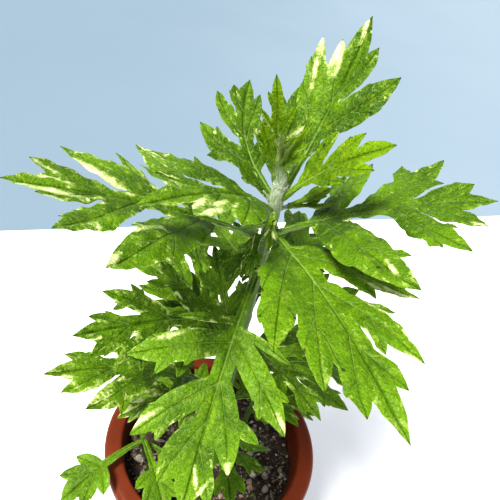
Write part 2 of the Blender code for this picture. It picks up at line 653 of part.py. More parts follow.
def make_soil(collection, cutters, look):
    """The soil fills the pot up to its surface, with a plain hole for each stem."""
    gap = TOUCH_GAP
    floor = POT_FLOOR + gap
    outer = pot_inner_radius(SOIL_LEVEL) - gap
    rings, points = [], []
    for ring in range(1, SOIL_RINGS + 1):
        radius = outer * ring / SOIL_RINGS
        rings.append(range(len(points), len(points) + SOIL_STEPS))
        for step in range(SOIL_STEPS):
            turn = math.tau * (step + 0.5 * ring) / SOIL_STEPS
            x, y = radius * math.cos(turn), radius * math.sin(turn)
            points.append(Vector((x, y, soil_height(x, y) if ring < SOIL_RINGS else SOIL_LEVEL)))
    for height in (floor + 2 * FLOOR_CORNER, floor):
        radius = pot_inner_radius(height) - gap - (FLOOR_CORNER if height == floor else gap)
        rings.append(range(len(points), len(points) + SOIL_STEPS))
        for step in range(SOIL_STEPS):
            turn = math.tau * (step + 0.5 * SOIL_RINGS) / SOIL_STEPS
            points.append(Vector((radius * math.cos(turn), radius * math.sin(turn), height)))
    faces = []
    for inner, outer_ring in zip(rings, rings[1:]):
        for step in range(SOIL_STEPS):
            after = (step + 1) % SOIL_STEPS
            a, b = inner[step], inner[after]
            c, d = outer_ring[step], outer_ring[after]
            faces += [(a, c, b), (b, c, d)]
    points += [Vector((0, 0, soil_height(0, 0))), Vector((0, 0, floor))]
    for step in range(SOIL_STEPS):
        after = (step + 1) % SOIL_STEPS
        faces.append((len(points) - 2, rings[0][step], rings[0][after]))
        faces.append((len(points) - 1, rings[-1][after], rings[-1][step]))
    soil = add_object("Soil", mesh_from("Soil", points, faces), collection, look)
    holes = []
    roots = [(Vector((0, 0, SOIL_LEVEL)), STEM_FOOT_RADIUS)] + [(s.foot, s.radii[0]) for s in SUCKERS]
    for index, (foot, radius) in enumerate(roots):
        depth = 2 * (ROOT_DEPTH + TOUCH_GAP)
        holes.append(cylinder(f"Root_hole_{index}", foot, radius + 2 * TOUCH_GAP, depth, 12, cutters))
    cut(soil, holes)
    return soil


def make_stem(collection, look):
    """The main stem, from its root in the soil to just under the shoot tip."""
    foot = SOIL_LEVEL - ROOT_DEPTH
    heights = [foot] + [SOIL_LEVEL + (STEM_TOP - SOIL_LEVEL) * step / 14 for step in range(15)]
    stem = tube("Main_Stem", [stem_centre(h) for h in heights], [stem_radius(h) for h in heights], collection)
    stem.data.materials.append(look)
    return stem


def make_leaf(leaf, collection, look):
    return add_object(leaf.name, leaf_mesh(leaf, beside_stem(leaf.height, leaf.heading)), collection, look)


def make_shoot(shoot, collection, look):
    """A thin stem with small leaves sunk into it, as one body. Its root goes straight down from its foot."""
    along = pointing(math.radians(shoot.heading), math.radians(shoot.rise))
    first, last = shoot.radii
    knots = [shoot.foot + along * shoot.reach * share for share in (0, 0.35, 0.7, 1)]
    radii = [first + (last - first) * share for share in (0, 0.35, 0.7, 1)]
    if shoot.root:
        knots.insert(0, shoot.foot - Vector((0, 0, shoot.root)))
        radii.insert(0, first)
    pieces = [tube(shoot.name, knots, radii, collection)]
    for index, small in enumerate(shoot.leaves):
        leaf = Leaf(
            f"{shoot.name}_{index}", small.form, 0, small.heading, small.rise, small.droop, 0, small.roll,
            small.length,
        )
        foot = shoot.foot + along * shoot.reach * small.share
        pieces.append(add_object(leaf.name, leaf_mesh(leaf, foot, 3, 6, 0.3), collection))
    return fuse(shoot.name, pieces, collection, look)


def main():
    for old in list(bpy.data.objects):
        bpy.data.objects.remove(old)
    plant = bpy.data.collections.new("Potted_Mugwort")
    cutters = bpy.data.collections.new("Cutters")
    bpy.context.scene.collection.children.link(plant)
    bpy.context.scene.collection.children.link(cutters)
    plastic = material("Red_Brown_Plastic", (0.16, 0.030, 0.014), 0.42)
    earth = material("Potting_Soil", (0.035, 0.024, 0.018), 0.95)
    bark = material("Green_Stem", (0.16, 0.30, 0.07), 0.6)
    foliage = material("Mugwort_Leaf", (0.13, 0.33, 0.03), 0.5)
    make_pot(plant, cutters, plastic)
    make_soil(plant, cutters, earth)
    make_stem(plant, bark)
    for leaf in LEAVES:
        make_leaf(leaf, plant, foliage)
    for shoot in (*SUCKERS, CROWN, *SPROUTS):
        make_shoot(shoot, plant, foliage)


main()
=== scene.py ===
"""The looks of a potted variegated mugwort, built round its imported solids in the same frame.

Lengths in the tables are millimetres and angles are degrees, as in the part's source. A heading is
measured from +X towards +Y, so 270 points to the viewer who stands at -Y.
"""

import math
import random
from collections import namedtuple

import bmesh
import bpy
import numpy as np
from mathutils import Matrix, Vector, noise
from mathutils.geometry import delaunay_2d_cdt


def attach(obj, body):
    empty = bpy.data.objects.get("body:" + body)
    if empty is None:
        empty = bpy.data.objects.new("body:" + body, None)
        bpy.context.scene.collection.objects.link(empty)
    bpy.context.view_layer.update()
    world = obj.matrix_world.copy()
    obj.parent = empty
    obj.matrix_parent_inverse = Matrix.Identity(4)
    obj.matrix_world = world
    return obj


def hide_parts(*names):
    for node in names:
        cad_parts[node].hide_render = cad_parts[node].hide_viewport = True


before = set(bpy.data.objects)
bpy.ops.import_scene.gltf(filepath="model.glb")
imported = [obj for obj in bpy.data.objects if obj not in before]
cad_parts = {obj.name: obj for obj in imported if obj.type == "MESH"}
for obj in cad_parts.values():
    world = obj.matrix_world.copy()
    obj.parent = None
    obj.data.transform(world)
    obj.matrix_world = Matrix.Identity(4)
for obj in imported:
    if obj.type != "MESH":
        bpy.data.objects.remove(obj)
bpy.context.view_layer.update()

MM = 0.001
TINY = 1e-9

POT_HEIGHT = 90.0
POT_RIM_RADIUS = 53.4
POT_MOUTH_RADIUS = 44.6
POT_BASE_RADIUS = 34.0
POT_WALL = 1.3
POT_FLOOR = 1.8
POT_SKIRT = 10.0
POT_LIP = 2.0
POT_STEPS = 160
DRAIN_HOLES = 6
DRAIN_RADIUS = 3.2
DRAIN_CIRCLE = 24.0

SOIL_LEVEL = POT_HEIGHT - 13.0
SOIL_RELIEF = 1.6
SOIL_RINGS = 74
SOIL_STEPS = 210
LUMP_PITCH = 0.16
GRIT_PITCH = 0.40
MOUND_HEIGHT = 1.5
MOUND_REACH = 17.0

STEM_TOP = 246.0
STEM_LEAN = 4.8
STEM_BOW = 1.2
STEM_FOOT_RADIUS = 2.6
STEM_TOP_RADIUS = 2.1
STEM_STEP = 0.9
NODE_WIDTH = 1.8
NODE_SWELL = 0.09
ROOT_DEPTH = 18.0
TOUCH_GAP = 0.3
NECK = 1.5
SPROUT_REACH = 3.4

PETIOLE_HALF_WIDTH = 1.2
PETIOLE_DEPTH = 1.3
MIDRIB_STEPS = 24
LOBE_BOW = 0.04
LOBE_FOOT = 0.67
LOBE_SWELL = 1.11
LOBE_TAPER = 2.4
RIPPLE_PITCH = 0.21
RIPPLE_EDGE = 0.25

BLADE_HALF = 0.17
CLASP = 1.3
VEIN_SINK = 0.85
PUFF = 0.52
RIM_WAVE = 0.34
CRINKLE = 0.26
VEIN_WIDTHS = (0.62, 0.30, 0.18)
NOTCH_ORDER = len(VEIN_WIDTHS)
NOTCH_REACH = 0.16
NOTCHES_LEFT_OUT = 0.35
RIB_HEIGHT = 0.055
USUAL_CREAM = 0.34

# The usual length of a triangle's side on a grown leaf, a small one and a tiny one.
LEAF_PITCH = 1.1
SMALL_PITCH = 0.95
TINY_PITCH = 0.62
SMALL_LENGTH = 25

# How the corners on a blade are spaced, in parts of that side.
SHORTEST = 0.22
LONGEST = 1.3
MERGED = 0.12
VEIN_SIDE = 0.48
VEIN_CLEAR = 0.80
RIM_CLEAR = 0.42
LEAST_CLEAR = 0.30

GRIT_SEED = 41
HAIR_SEED = 5
STEM_SEED = 77
LEAF_SEED = 100
SHOOT_SEED = 200

# Grit: name, count, least and greatest width, and how finely each stone is divided.
GRIT = (
    ("Grit_Coarse", 190, 2.2, 4.4, 3), ("Grit_Medium", 480, 1.2, 2.4, 2), ("Grit_Fine", 1500, 0.5, 1.2, 1),
)
SLIVERS = 0.12
GREEN_CRUMBS = 0.012
GRIT_TINTS = (0.06, 0.20, 0.36, 0.45, 0.52, 0.58, 0.64, 0.70, 0.76, 0.80, 0.90, 0.94)
GRIT_COLOURS = (
    (0.0, (0.016, 0.011, 0.008)), (0.30, (0.040, 0.026, 0.018)), (0.50, (0.11, 0.082, 0.064)),
    (0.66, (0.20, 0.165, 0.135)), (0.78, (0.33, 0.27, 0.21)), (0.88, (0.19, 0.085, 0.040)),
    (0.95, (0.52, 0.47, 0.40)), (1.0, (0.075, 0.11, 0.020)),
)

STEM_HAIRS = 2200
CROWN_HAIRS = 160
HAIRY_LENGTH = 30
HAIR_WIDTH = 0.028
HAIR_FACES = ((0, 1, 2), (0, 3, 1), (1, 3, 2), (2, 3, 0))

# Greens: the deepest, the brightest, the lime between the veins, and the leaf's underside.
GROWN_GREENS = (0.033, 0.087, 0.001), (0.113, 0.230, 0.003), (0.276, 0.390, 0.023), (0.17, 0.22, 0.095)
YOUNG_GREENS = (0.060, 0.132, 0.001), (0.142, 0.252, 0.002), (0.330, 0.430, 0.020), (0.22, 0.27, 0.10)
# Side buds whose leaves have a grown leaf's green; on Sprout_04, which sits in shade, this darker green is
# partly painted shade.
DARK_SPROUTS = ("Sprout_01", "Sprout_02", "Sprout_04", "Sprout_07")
HALF_CREAM = (0.290, 0.390, 0.085)
FULL_CREAM = (0.500, 0.545, 0.250)
PALEST_CREAM = (0.70, 0.70, 0.50)
SPECK = (0.44, 0.52, 0.16)
VEIN = (0.220, 0.330, 0.080)
DARK_POINT = (0.022, 0.025, 0.010)
STEM_GREEN = (0.075, 0.150, 0.012)
STEM_BROWN = (0.10, 0.055, 0.020)
STEM_FELT = (0.44, 0.48, 0.36)

# The table and the camera, in metres.
TABLE_EDGE = 0.290
TABLE_TURN = 22.0
CAMERA_PLACE = (-0.0007, -0.1522, 0.3402)
CAMERA_PITCH = 39.1
CAMERA_ROLL = 11.7
FOCAL_PIXELS = 540
PICTURE_PIXELS = 500
SENSOR_WIDTH = 36.0

Leaf = namedtuple("Leaf", "name form height heading rise droop sway roll length")
Form = namedtuple("Form", "petiole rachis breadth fold curl ripple lobes")
Shoot = namedtuple("Shoot", "name root foot heading rise reach radii leaves")
Vein = namedtuple("Vein", "line order width")
Part = namedtuple("Part", "points faces blade marks look tone slots")


# A form's lobes are rows in hundredths: where the lobe starts on the vein that it leaves, its tip along the
# midrib and beside it as parts of the leaf's length, half its width as a part of its own length where that
# isn't SLIM, and the rows of its teeth.
SLIM = 17
FORMS = {
    "front": Form(0.22, 0.043, 0.074, 9, 0.0025, 0.6, (
        (23, 30, -25, 7.5), (32, 49.5, -38, 15, (30, 47, -15), (50, 53, -25), (50, 40, -32)),
        (49, 76, -27, 14.5, (50, 64, -24, 14), (50, 76, -17)), (64, 90, -12, 22), (26, 34, 26, 7.5),
        (29, 61, 30.5, 13, (50, 48, 29), (50, 58, 19)), (47, 81, 13.5, 15.5, (40, 67, 22)), (74, 94, 9),
    )),
    "broad": Form(0.12, 0.046, 0.052, 8, 0.004, 0.8, (
        (14, 29, 24, 9), (18, 54, 32, 12.5, (52, 50, 17), (50, 43, 31, 17.5)),
        (38, 78.5, 17.5, 12.5, (30, 57.5, 20, 17.5), (50, 72.5, 7.5)), (67, 85.5, 7.5, 18),
        (14, 39, -21, 11), (18, 66, -28, 12, (45, 54, -15.5, 16), (50, 50, -26)),
        (36, 81, -18, 12.5, (40, 67, -18.5, 20), (50, 75, -9)), (62, 91, -9.5),
    )),
    "spread": Form(0.22, 0.060, 0.081, 6, 0.003, 0.8, (
        (25, 69.5, -56, 13, (54, 66, -35, 18), (50, 55, -43.5)),
        (58, 86.5, -38, 13, (45, 77, -35, 14), (39, 83, -22, 18.5)), (70, 93.5, -21, 18),
        (23, 45, 42.5, 19, (41, 24, 46, 20), (50, 44, 24.5)),
        (47, 80.5, 34, 20, (48, 60, 40, 18.5), (50, 79.5, 16, 17.5)), (70, 92, 12, 26),
    )),
    "upright": Form(0.20, 0.045, 0.066, 10, 0.004, 0.6, (
        (23, 83, 20.5, 10, (60, 71.5, 22), (40, 57.5, 19.5)), (54, 85, 9.5, 15.5),
        (38, 78.5, -28.5, 16.5, (45, 70.5, -16), (40, 57, -23)), (58, 87.5, -11, 18),
    )),
    "long": Form(0.28, 0.040, 0.07, 8, 0.004, 0.8, (
        (30, 37.5, -56, 13, (40, 46, -28.5, 18)), (45, 57, -28, 12), (44, 77, -26, 16.5), (66, 90, -12, 20),
        (29, 79.5, 38, 13, (60, 72.5, 27.5), (40, 64.5, 16), (42, 57.5, 35, 18.5)),
        (56, 92, 26, 11.5, (60, 88, 18)), (70, 92, 7, 20),
    )),
    "near": Form(0.22, 0.055, 0.073, 8, 0.004, 0.8, (
        (21, 62.5, -43, 18.5, (42, 34.5, -39.5, 19.5), (52, 65.5, -23)), (50, 78.5, -18, 20),
        (23, 63.5, 31.5, 18.5, (50, 46, 28)), (46, 84, 21.5, 18, (50, 72, 25)),
    )),
    "side": Form(0.26, 0.044, 0.062, 8, 0.004, 0.8, (
        (30, 48.5, -39, 14, (50, 57, -22, 15), (50, 40, -31)),
        (47, 81, -20, 13.5, (40, 66, -22), (60, 78, -9.5)), (70, 90.5, -8, 16),
        (30, 55, 32, 14, (50, 43, 28), (50, 54, 18)), (50, 86, 22, 15, (50, 72, 25)), (70, 94, 12, 18.5),
    )),
    "mid": Form(0.26, 0.050, 0.062, 8, 0.004, 1.0, (
        (28, 52, 33, 17, (50, 40, 30), (50, 53, 21)), (48, 76, 24, 17, (50, 76, 15)), (70, 91, 10),
        (30, 54, -33, 17, (50, 42, -30), (50, 55, -21)), (50, 78, -24, 17, (50, 78, -15)), (72, 92, -10),
    )),
    "fan": Form(0.18, 0.045, 0.063, 8, 0.004, 0.6, (
        (21, 55.5, 28, 18.5, (58, 55, 17), (37, 33, 27.5, 24)), (47, 82, 18.5, 14, (50, 65, 16)),
        (70, 91.5, 9, 19), (22, 58, -19.5, 13), (43, 87, -9.5, 11.5),
    )),
    "young": Form(0.14, 0.060, 0.075, 14, 0.006, 0.3, (
        (24, 58, 22, 15), (50, 82, 13, 18), (28, 62, -22, 15), (54, 85, -13, 18),
    )),
    "steep": Form(0.14, 0.048, 0.078, 14, 0.006, 0.3, (
        (19, 60.5, 22.5, 14, (50, 46, 18)), (44, 79.5, 13.5, 14.5, (40, 68, 15)),
        (30, 65, -20, 12.5, (50, 51, -17)), (48, 87, -16.5, 15),
    )),
    "crown": Form(0.10, 0.062, 0.058, 12, 0.006, 0.0, (
        (16, 46, 26, 10), (34, 68, 17, 11), (62, 84, 9, 14), (18, 54, -29, 10), (36, 70, -19, 11),
    )),
    "oval": Form(0.28, 0.14, 0.18, 10, 0.010, 0.3, (
        (44, 78, 24, 24), (48, 82, -22, 24),
    )),
    "bud": Form(0.16, 0.075, 0.100, 16, 0.006, 0.0, (
        (34, 70, 20, 18), (38, 74, -20, 18),
    )),
    "juvenile": Form(0.50, 0.10, 0.130, 8, 0.006, 0.8, (
        (52, 66, 26, 24), (60, 88, 20, 24), (52, 66, -26, 24), (60, 88, -20, 24),
    )),
}

LEAVES = (
    Leaf("Leaf_01", "mid", 92, 140, 35, 60, 0, 0, 58),
    Leaf("Leaf_02", "mid", 104, 282, 52, 46, 0, 0, 61),
    Leaf("Leaf_03", "mid", 110, 55, 38, 60, 0, 0, 62),
    Leaf("Leaf_04", "mid", 119, 203, 56, 100, 6, 0, 53),
    Leaf("Leaf_05", "mid", 126, 348.5, 47.5, 76.5, 10, 0, 45.5),
    Leaf("Leaf_06", "mid", 134, 120.5, 49.5, 34.5, 0, 0, 82.5),
    Leaf("Leaf_07", "side", 130, 211, 57, 58, -3, 0, 87.5),
    Leaf("Leaf_08", "mid", 148, 16, 16, 68, 10, 0, 80),
    Leaf("Leaf_09", "mid", 160, 148.5, 32, 34, 8, 0, 60.5),
    Leaf("Leaf_10", "mid", 168, 312, 34, 50, 0, 0, 50),
    Leaf("Leaf_11", "mid", 180, 75, 30, 50, 0, 0, 76),
    Leaf("Leaf_12", "side", 182, 219, 26, 23.5, -4, -24, 68.5),
    Leaf("Leaf_13", "mid", 197, 0, 12, 40, 0, 0, 52),
    Leaf("Leaf_14", "mid", 201, 123.5, 10, 42, 0, 0, 62.5),
    Leaf("Leaf_15", "front", 206, 261.5, -11, 46, 3, -6, 86),
    Leaf("Leaf_16", "mid", 212, 42, 6, 30, 0, 0, 62),
    Leaf("Leaf_17", "long", 224, 211, 30, 12, 5, 0, 88),
    Leaf("Leaf_18", "broad", 228, 298, 16, 25, -2, 0, 87),
    Leaf("Leaf_19", "young", 233, 92, 44, 23, -11, 0, 55),
    Leaf("Leaf_20", "spread", 227, 347, 43, 28, 9, 0, 72),
    Leaf("Leaf_21", "near", 238, 230.5, 40.5, 41, -2, 0, 57.5),
    Leaf("Leaf_22", "fan", 240, 131, 14, -5.5, -46, 0, 59),
    Leaf("Leaf_23", "upright", 241, 63, 44.5, -26.5, -5, 0, 64),
    Leaf("Leaf_24", "steep", 243, 329.5, 61, 26, 4, 44.5, 44),
)

# How much of each leaf is flecked with cream, where it isn't USUAL_CREAM.
CREAM = {
    "Leaf_04": 0.85, "Leaf_05": 0.60, "Leaf_07": 0.62, "Leaf_12": 0.42, "Leaf_15": 0.30, "Leaf_17": 0.53,
    "Leaf_18": 0.26, "Leaf_20": 0.26, "Leaf_21": 0.40, "Leaf_22": 0.34, "Leaf_23": 0.36, "Leaf_24": 0.10,
    "Shoot_Tip": 0.34, "Sucker_Left": 0.12, "Sucker_Back": 0.14, "Sprout_04": 0.46, "Sprout_05": 0.46,
}
# How light each leaf's green is, from -2 to 1, where it isn't left to chance: these set values are painted
# light and shade, lightening or darkening a leaf for how it is lit.
TONE_AND_PAINTED_LIGHT = {
    "Leaf_12": -0.5, "Leaf_15": 0.6, "Leaf_17": 0.0, "Leaf_18": 0.8, "Leaf_19": -2.0, "Leaf_20": -0.6,
    "Leaf_21": -1.0, "Leaf_22": -2.0, "Leaf_23": -1.0, "Sprout_04_0": -2.0, "Sprout_04_1": -0.5,
    "Sprout_07_0": -1.0,
}
# Wholly cream places on a leaf: (along, beside, half length, half width, turn), in shares of its length.
PATCHES = {
    "Leaf_15": (
        (0.70, -0.245, 0.070, 0.011, -44), (0.38, -0.25, 0.05, 0.009, -60), (0.57, 0.285, 0.05, 0.008, 42),
        (0.86, 0.02, 0.05, 0.007, 20), (0.88, 0.055, 0.04, 0.007, -24), (0.79, 0.13, 0.03, 0.010, 20),
    ),
    "Leaf_17": (
        (0.70, -0.14, 0.10, 0.022, -38), (0.87, 0.035, 0.09, 0.014, -6), (0.85, -0.09, 0.04, 0.010, -30),
        (0.76, 0.34, 0.04, 0.012, 45),
    ),
    "Leaf_18": (
        (0.49, 0.26, 0.05, 0.009, 42), (0.45, 0.20, 0.05, 0.007, 40), (0.56, 0.15, 0.04, 0.007, 40),
        (0.76, 0.15, 0.03, 0.008, 26), (0.40, 0.27, 0.03, 0.009, 60),
    ),
    "Leaf_20": (
        (0.60, -0.44, 0.04, 0.008, -60), (0.90, -0.19, 0.03, 0.009, -40), (0.42, 0.37, 0.04, 0.010, 60),
    ),
    "Leaf_21": (
        (0.70, 0.09, 0.075, 0.017, 34), (0.60, 0.11, 0.065, 0.020, 13), (0.70, 0.185, 0.100, 0.026, 13),
        (0.77, 0.24, 0.040, 0.016, 10),
    ),
    "Leaf_23": (
        (0.80, 0.095, 0.10, 0.030, 8), (0.79, 0.195, 0.06, 0.020, 16), (0.66, 0.165, 0.08, 0.012, 16),
        (0.94, 0.010, 0.07, 0.010, 4), (0.72, 0.06, 0.05, 0.010, 12),
    ),
    "Shoot_Tip_0": ((0.44, -0.235, 0.17, 0.020, -52), (0.44, 0.24, 0.05, 0.012, 44)),
    "Sprout_05_0": ((0.60, 0.10, 0.16, 0.04, 20), (0.50, -0.12, 0.14, 0.03, -20)),
}


def circle(turn, radius=1.0):
    """x and y at this turn, in radians, on a circle round the pot's axis."""
    return radius * math.cos(turn), radius * math.sin(turn)


def turns(steps):
    """This many even turns of a circle, in radians."""
    return [math.tau * step / steps for step in range(steps)]


def arc(first, bend, last, steps):
    """Points on a curve from first to last that is pulled towards bend."""
    shares = [step / steps for step in range(steps + 1)]
    return [first * (1 - s) ** 2 + bend * 2 * s * (1 - s) + last * s**2 for s in shares]


def bands(rings):
    """The faces with four corners between each ring of corners and the next."""
    faces = []
    for low, high in zip(rings, rings[1:]):
        faces += zip(low, low[1:] + low[:1], high[1:] + high[:1], high)
    return faces


def stem_share(height):
    """How far this height is up the main stem, from 0 at the soil to 1 at its top."""
    return max(0.0, (height - SOIL_LEVEL) / (STEM_TOP - SOIL_LEVEL))


def stem_centre(height):
    """The middle of the main stem at this height: upright in the soil, then leaning a little to +X."""
    share = stem_share(height)
    return Vector((STEM_LEAN * share, STEM_BOW * math.sin(math.pi * share), height))


def stem_radius(height):
    return STEM_FOOT_RADIUS + (STEM_TOP_RADIUS - STEM_FOOT_RADIUS) * stem_share(height)


def pot_inner_radius(height):
    share = (height - POT_FLOOR) / (POT_HEIGHT - POT_LIP - POT_FLOOR)
    return POT_BASE_RADIUS - POT_WALL + (POT_MOUTH_RADIUS - POT_BASE_RADIUS + POT_WALL) * share


def beside_stem(height, heading):
    """A place just off the main stem's side at this height."""
    clear = stem_radius(height) + TOUCH_GAP + 0.4
    return stem_centre(height) + Vector((*circle(math.radians(heading)), 0)) * clear


def sprout(name, height, heading, rise, *leaves):
    """A side bud on the main stem, which has only begun to grow."""
    return Shoot(name, 0, beside_stem(height, heading), heading, rise, SPROUT_REACH, (0.75, 0.5), leaves)


# A small leaf's row: its form, its share of the shoot's reach, heading, rise, droop, roll and length.
SUCKERS = (
    Shoot("Sucker_Left", ROOT_DEPTH, Vector((-32, -10, SOIL_LEVEL)), 200, 86, 20, (1.5, 1.0), (
        ("juvenile", 0.84, 231, 15, 42, 0, 45.5),
        ("juvenile", 0.90, 300, 24, 46, 0, 40),
        ("juvenile", 0.70, 338, 26, 50, 0, 21),
        ("juvenile", 0.97, 118, 44, 60, 0, 30),
        ("bud", 0.99, 40, 70, 30, 0, 14),
    )),
    Shoot("Sucker_Back", ROOT_DEPTH, Vector((15, 18, SOIL_LEVEL)), 60, 76, 24, (1.5, 1.0), (
        ("juvenile", 0.62, 20, 34, 50, 0, 34),
        ("juvenile", 0.80, 157, 40, 50, 0, 30),
        ("juvenile", 0.92, 290, 48, 50, 0, 24),
        ("bud", 0.99, 70, 70, 30, 0, 15),
    )),
)
CROWN = Shoot("Shoot_Tip", NECK, stem_centre(STEM_TOP + TOUCH_GAP + NECK), 190, 68, 8.5, (1.85, 1.1), (
    ("crown", 0.66, 180, 79, 2, -84, 30),
    ("crown", 0.56, 24, 62, -6, 40, 18),
    ("bud", 0.60, 205, 56, -10, -70, 18),
    ("bud", 0.84, 262, 76, 8, 0, 13),
    ("bud", 0.72, 322, 64, -6, 20, 12),
))
SPROUTS = (
    sprout("Sprout_01", 162.5, 154, 62, ("mid", 0.8, 126, 60, 16, 0, 41), ("bud", 0.9, 200, 62, 30, 0, 12)),
    sprout("Sprout_02", 183, 76, 52, ("bud", 0.8, 76, 40, 30, 0, 17), ("bud", 0.9, 10, 62, 30, 0, 12)),
    sprout("Sprout_03", 210, 262, 46, ("bud", 0.8, 248, 24, 30, 20, 12), ("bud", 0.9, 300, 50, 20, 0, 9)),
    sprout("Sprout_04", 226, 236, 2, ("oval", 0.8, 236, -30, 26, 0, 19), ("bud", 0.9, 268, -14, 40, 0, 15)),
    sprout("Sprout_05", 236, 272, 10, ("bud", 0.8, 272, -20, 26, 0, 12), ("bud", 0.9, 248, 10, 40, 0, 7)),
    sprout("Sprout_06", 237, 12, 20, ("oval", 0.8, 22, 30, 4, 0, 15), ("bud", 0.9, 0, 12, -4, 0, 14)),
    sprout("Sprout_07", 240, 182, 46, ("oval", 0.8, 196, 42, -10, -30, 15), ("bud", 0.9, 150, 40, 0, 0, 8)),
)


# The flat leaf: outlines, veins and its triangles.

def vein_points(root, tip, steps):
    """A lobe's vein: it leaves the midrib wide and bends forward to its tip."""
    reach = tip - root
    outward = reach.orthogonal() * math.copysign(LOBE_BOW, reach.y)
    return arc(root, root + reach * 0.5 + outward, tip, steps)


def lobe_half_width(half_width, share):
    return half_width * (1 - share**LOBE_TAPER) * (LOBE_FOOT + LOBE_SWELL * share)


def lobe_outline(vein, half_width):
    """The two edges of a pointed lobe round its vein, widest a third of the way along."""
    sides = [], []
    for index, point in enumerate(vein[:-1]):
        share = index / (len(vein) - 1)
        forward = (vein[index + 1] - vein[max(index - 1, 0)]).normalized()
        across = forward.orthogonal() * lobe_half_width(half_width, share)
        sides[0].append(point + across)
        sides[1].append(point - across)
    return sides[0] + [vein[-1]] + sides[1][::-1]


def point_on(line, share):
    place = share * (len(line) - 1)
    index = min(int(place), len(line) - 2)
    return line[index].lerp(line[index + 1], place - index)


def notches(vein, half_width, pitch, dice):
    """Small forward teeth on both edges of a lobe, as (vein, outline) pairs."""
    long = (vein[-1] - vein[0]).length
    made = []
    if long < 9 * pitch:
        return made
    for side in (-1, 1):
        if dice.random() < NOTCHES_LEFT_OUT:
            continue
        share = 0.42 + 0.26 * dice.random()
        forward = (point_on(vein, share + 0.05) - point_on(vein, share - 0.05)).normalized()
        across = forward.orthogonal() * side
        wide = lobe_half_width(half_width, min(0.96, share + NOTCH_REACH))
        tip = point_on(vein, share + NOTCH_REACH) + across * (wide + 0.25 + 0.5 * dice.random())
        root = point_on(vein, max(0.0, share - NOTCH_REACH)) + across * wide * 0.35
        line = vein_points(root, tip, max(5, round((tip - root).length / pitch)))
        made.append((line, lobe_outline(line, 0.17 * (tip - root).length)))
    return made


def shares_of(start, along, beside, slim=SLIM, *teeth):
    return start / 100, along / 100, beside / 100, slim / 100, teeth


def lobe_shapes(row, parent, length, pitch, order, dice):
    """(vein, outline, order) of a lobe and its teeth, in millimetres on the flat blade."""
    start, along, beside, slim, teeth = shares_of(*row)
    root = point_on(parent, start)
    tip = Vector((along, beside)) * length
    reach = (tip - root).length
    vein = vein_points(root, tip, max(4, round(reach / pitch)))
    shapes = [(vein, lobe_outline(vein, slim * reach), order)]
    for tooth in teeth:
        shapes += lobe_shapes(tooth, vein, length, pitch, order + 1, dice)
    shapes += [(line, outline, NOTCH_ORDER) for line, outline in notches(vein, slim * reach, pitch, dice)]
    return shapes


def spine_half_widths(form, length, shares):
    """Half the blade's width at shares of the midrib: petiole, rachis, then the end lobe."""
    rachis, breadth = form.rachis * length, form.breadth * length
    stops = (0.0, form.petiole, form.petiole + 0.12, 0.66, 0.80, 0.91, 1.0)
    widths = (max(PETIOLE_HALF_WIDTH, 0.45 * rachis), rachis, rachis, breadth, 0.66 * breadth, 0)
    return np.interp(shares, stops, (PETIOLE_HALF_WIDTH, *widths))


def anticlockwise(outline):
    """The outline, turned round if it runs clockwise."""
    area = sum(a.cross(b) for a, b in zip(outline, outline[1:] + outline[:1]))
    return outline if area > 0 else outline[::-1]


def rim_edges(triangles):
    """The edges with a triangle on one side only, in the direction in which that triangle has them."""
    sides = {side for a, b, c in triangles for side in ((a, b), (b, c), (c, a))}
    return sorted((a, b) for a, b in sides if (b, a) not in sides)


def joined_outline(outlines, merge):
    """The outer edge of shapes that overlap, anticlockwise."""
    points, faces = [], []
    for outline in outlines:
        faces.append(list(range(len(points), len(points) + len(outline))))
        points += anticlockwise(outline)
    made = delaunay_2d_cdt(points, [], faces, 1, merge, True)
    after = {}
    for first, last in rim_edges([face for face, inside in zip(made[2], made[5]) if inside]):
        after.setdefault(first, []).append(last)
    loops, walk = [], []
    while walk or any(after.values()):
        walk = walk or [next(corner for corner, ends in after.items() if ends)]
        corner = after[walk[-1]].pop()
        if corner in walk:
            start = walk.index(corner)
            loops.append([made[0][index] for index in walk[start:]])
            walk = walk[: start + 1] if after[corner] else walk[:start]
        else:
            walk.append(corner)
    return max(loops, key=len)


def split_long(outline, pitch):
    """The outline with its long stretches split, and its very short ones taken out."""
    kept = []
    for point in outline:
        if not kept or (point - kept[-1]).length > SHORTEST * pitch:
            kept.append(point)
    made = []
    for first, last in zip(kept, kept[1:] + kept[:1]):
        count = max(1, math.ceil((last - first).length / (LONGEST * pitch)))
        made += [first.lerp(last, step / count) for step in range(count)]
    return made


def segment_gap(points, line):
    """For each point: its distance from a polyline, how far along it is, and the side that it lies on."""
    first, reach = line[:-1], line[1:] - line[:-1]
    span = np.maximum((reach**2).sum(1), TINY)
    away = points[:, None] - first
    share = np.clip((away * reach).sum(2) / span, 0, 1)
    gap = np.sqrt(((away - share[..., None] * reach) ** 2).sum(2))
    best = gap.argmin(1)
    row = np.arange(len(points))
    side = np.sign(reach[best, 0] * away[row, best, 1] - reach[best, 1] * away[row, best, 0])
    long = np.sqrt(span)
    steps = np.concatenate([[0], long.cumsum()])
    return gap[row, best], steps[best] + share[row, best] * long[best], side


def inside(points, outline):
    """Which points lie inside the outline."""
    x, y = points[:, 0, None], points[:, 1, None]
    (ax, ay), (bx, by) = outline.T, np.roll(outline, -1, axis=0).T
    at = ax + (y - ay) * ((bx - ax) / np.where(by == ay, TINY, by - ay))
    return ((x < at) & ((ay > y) != (by > y))).sum(1) % 2 == 1


def lattice(outline, pitch):
    """Points on a net of even triangles that covers the outline."""
    low, high = outline.min(0), outline.max(0)
    row = pitch * math.sqrt(0.75)
    ys = np.arange(low[1], high[1] + row, row)
    xs = np.arange(low[0], high[0] + pitch, pitch)
    return np.array([(x + (index % 2) * pitch / 2, y) for index, y in enumerate(ys) for x in xs])


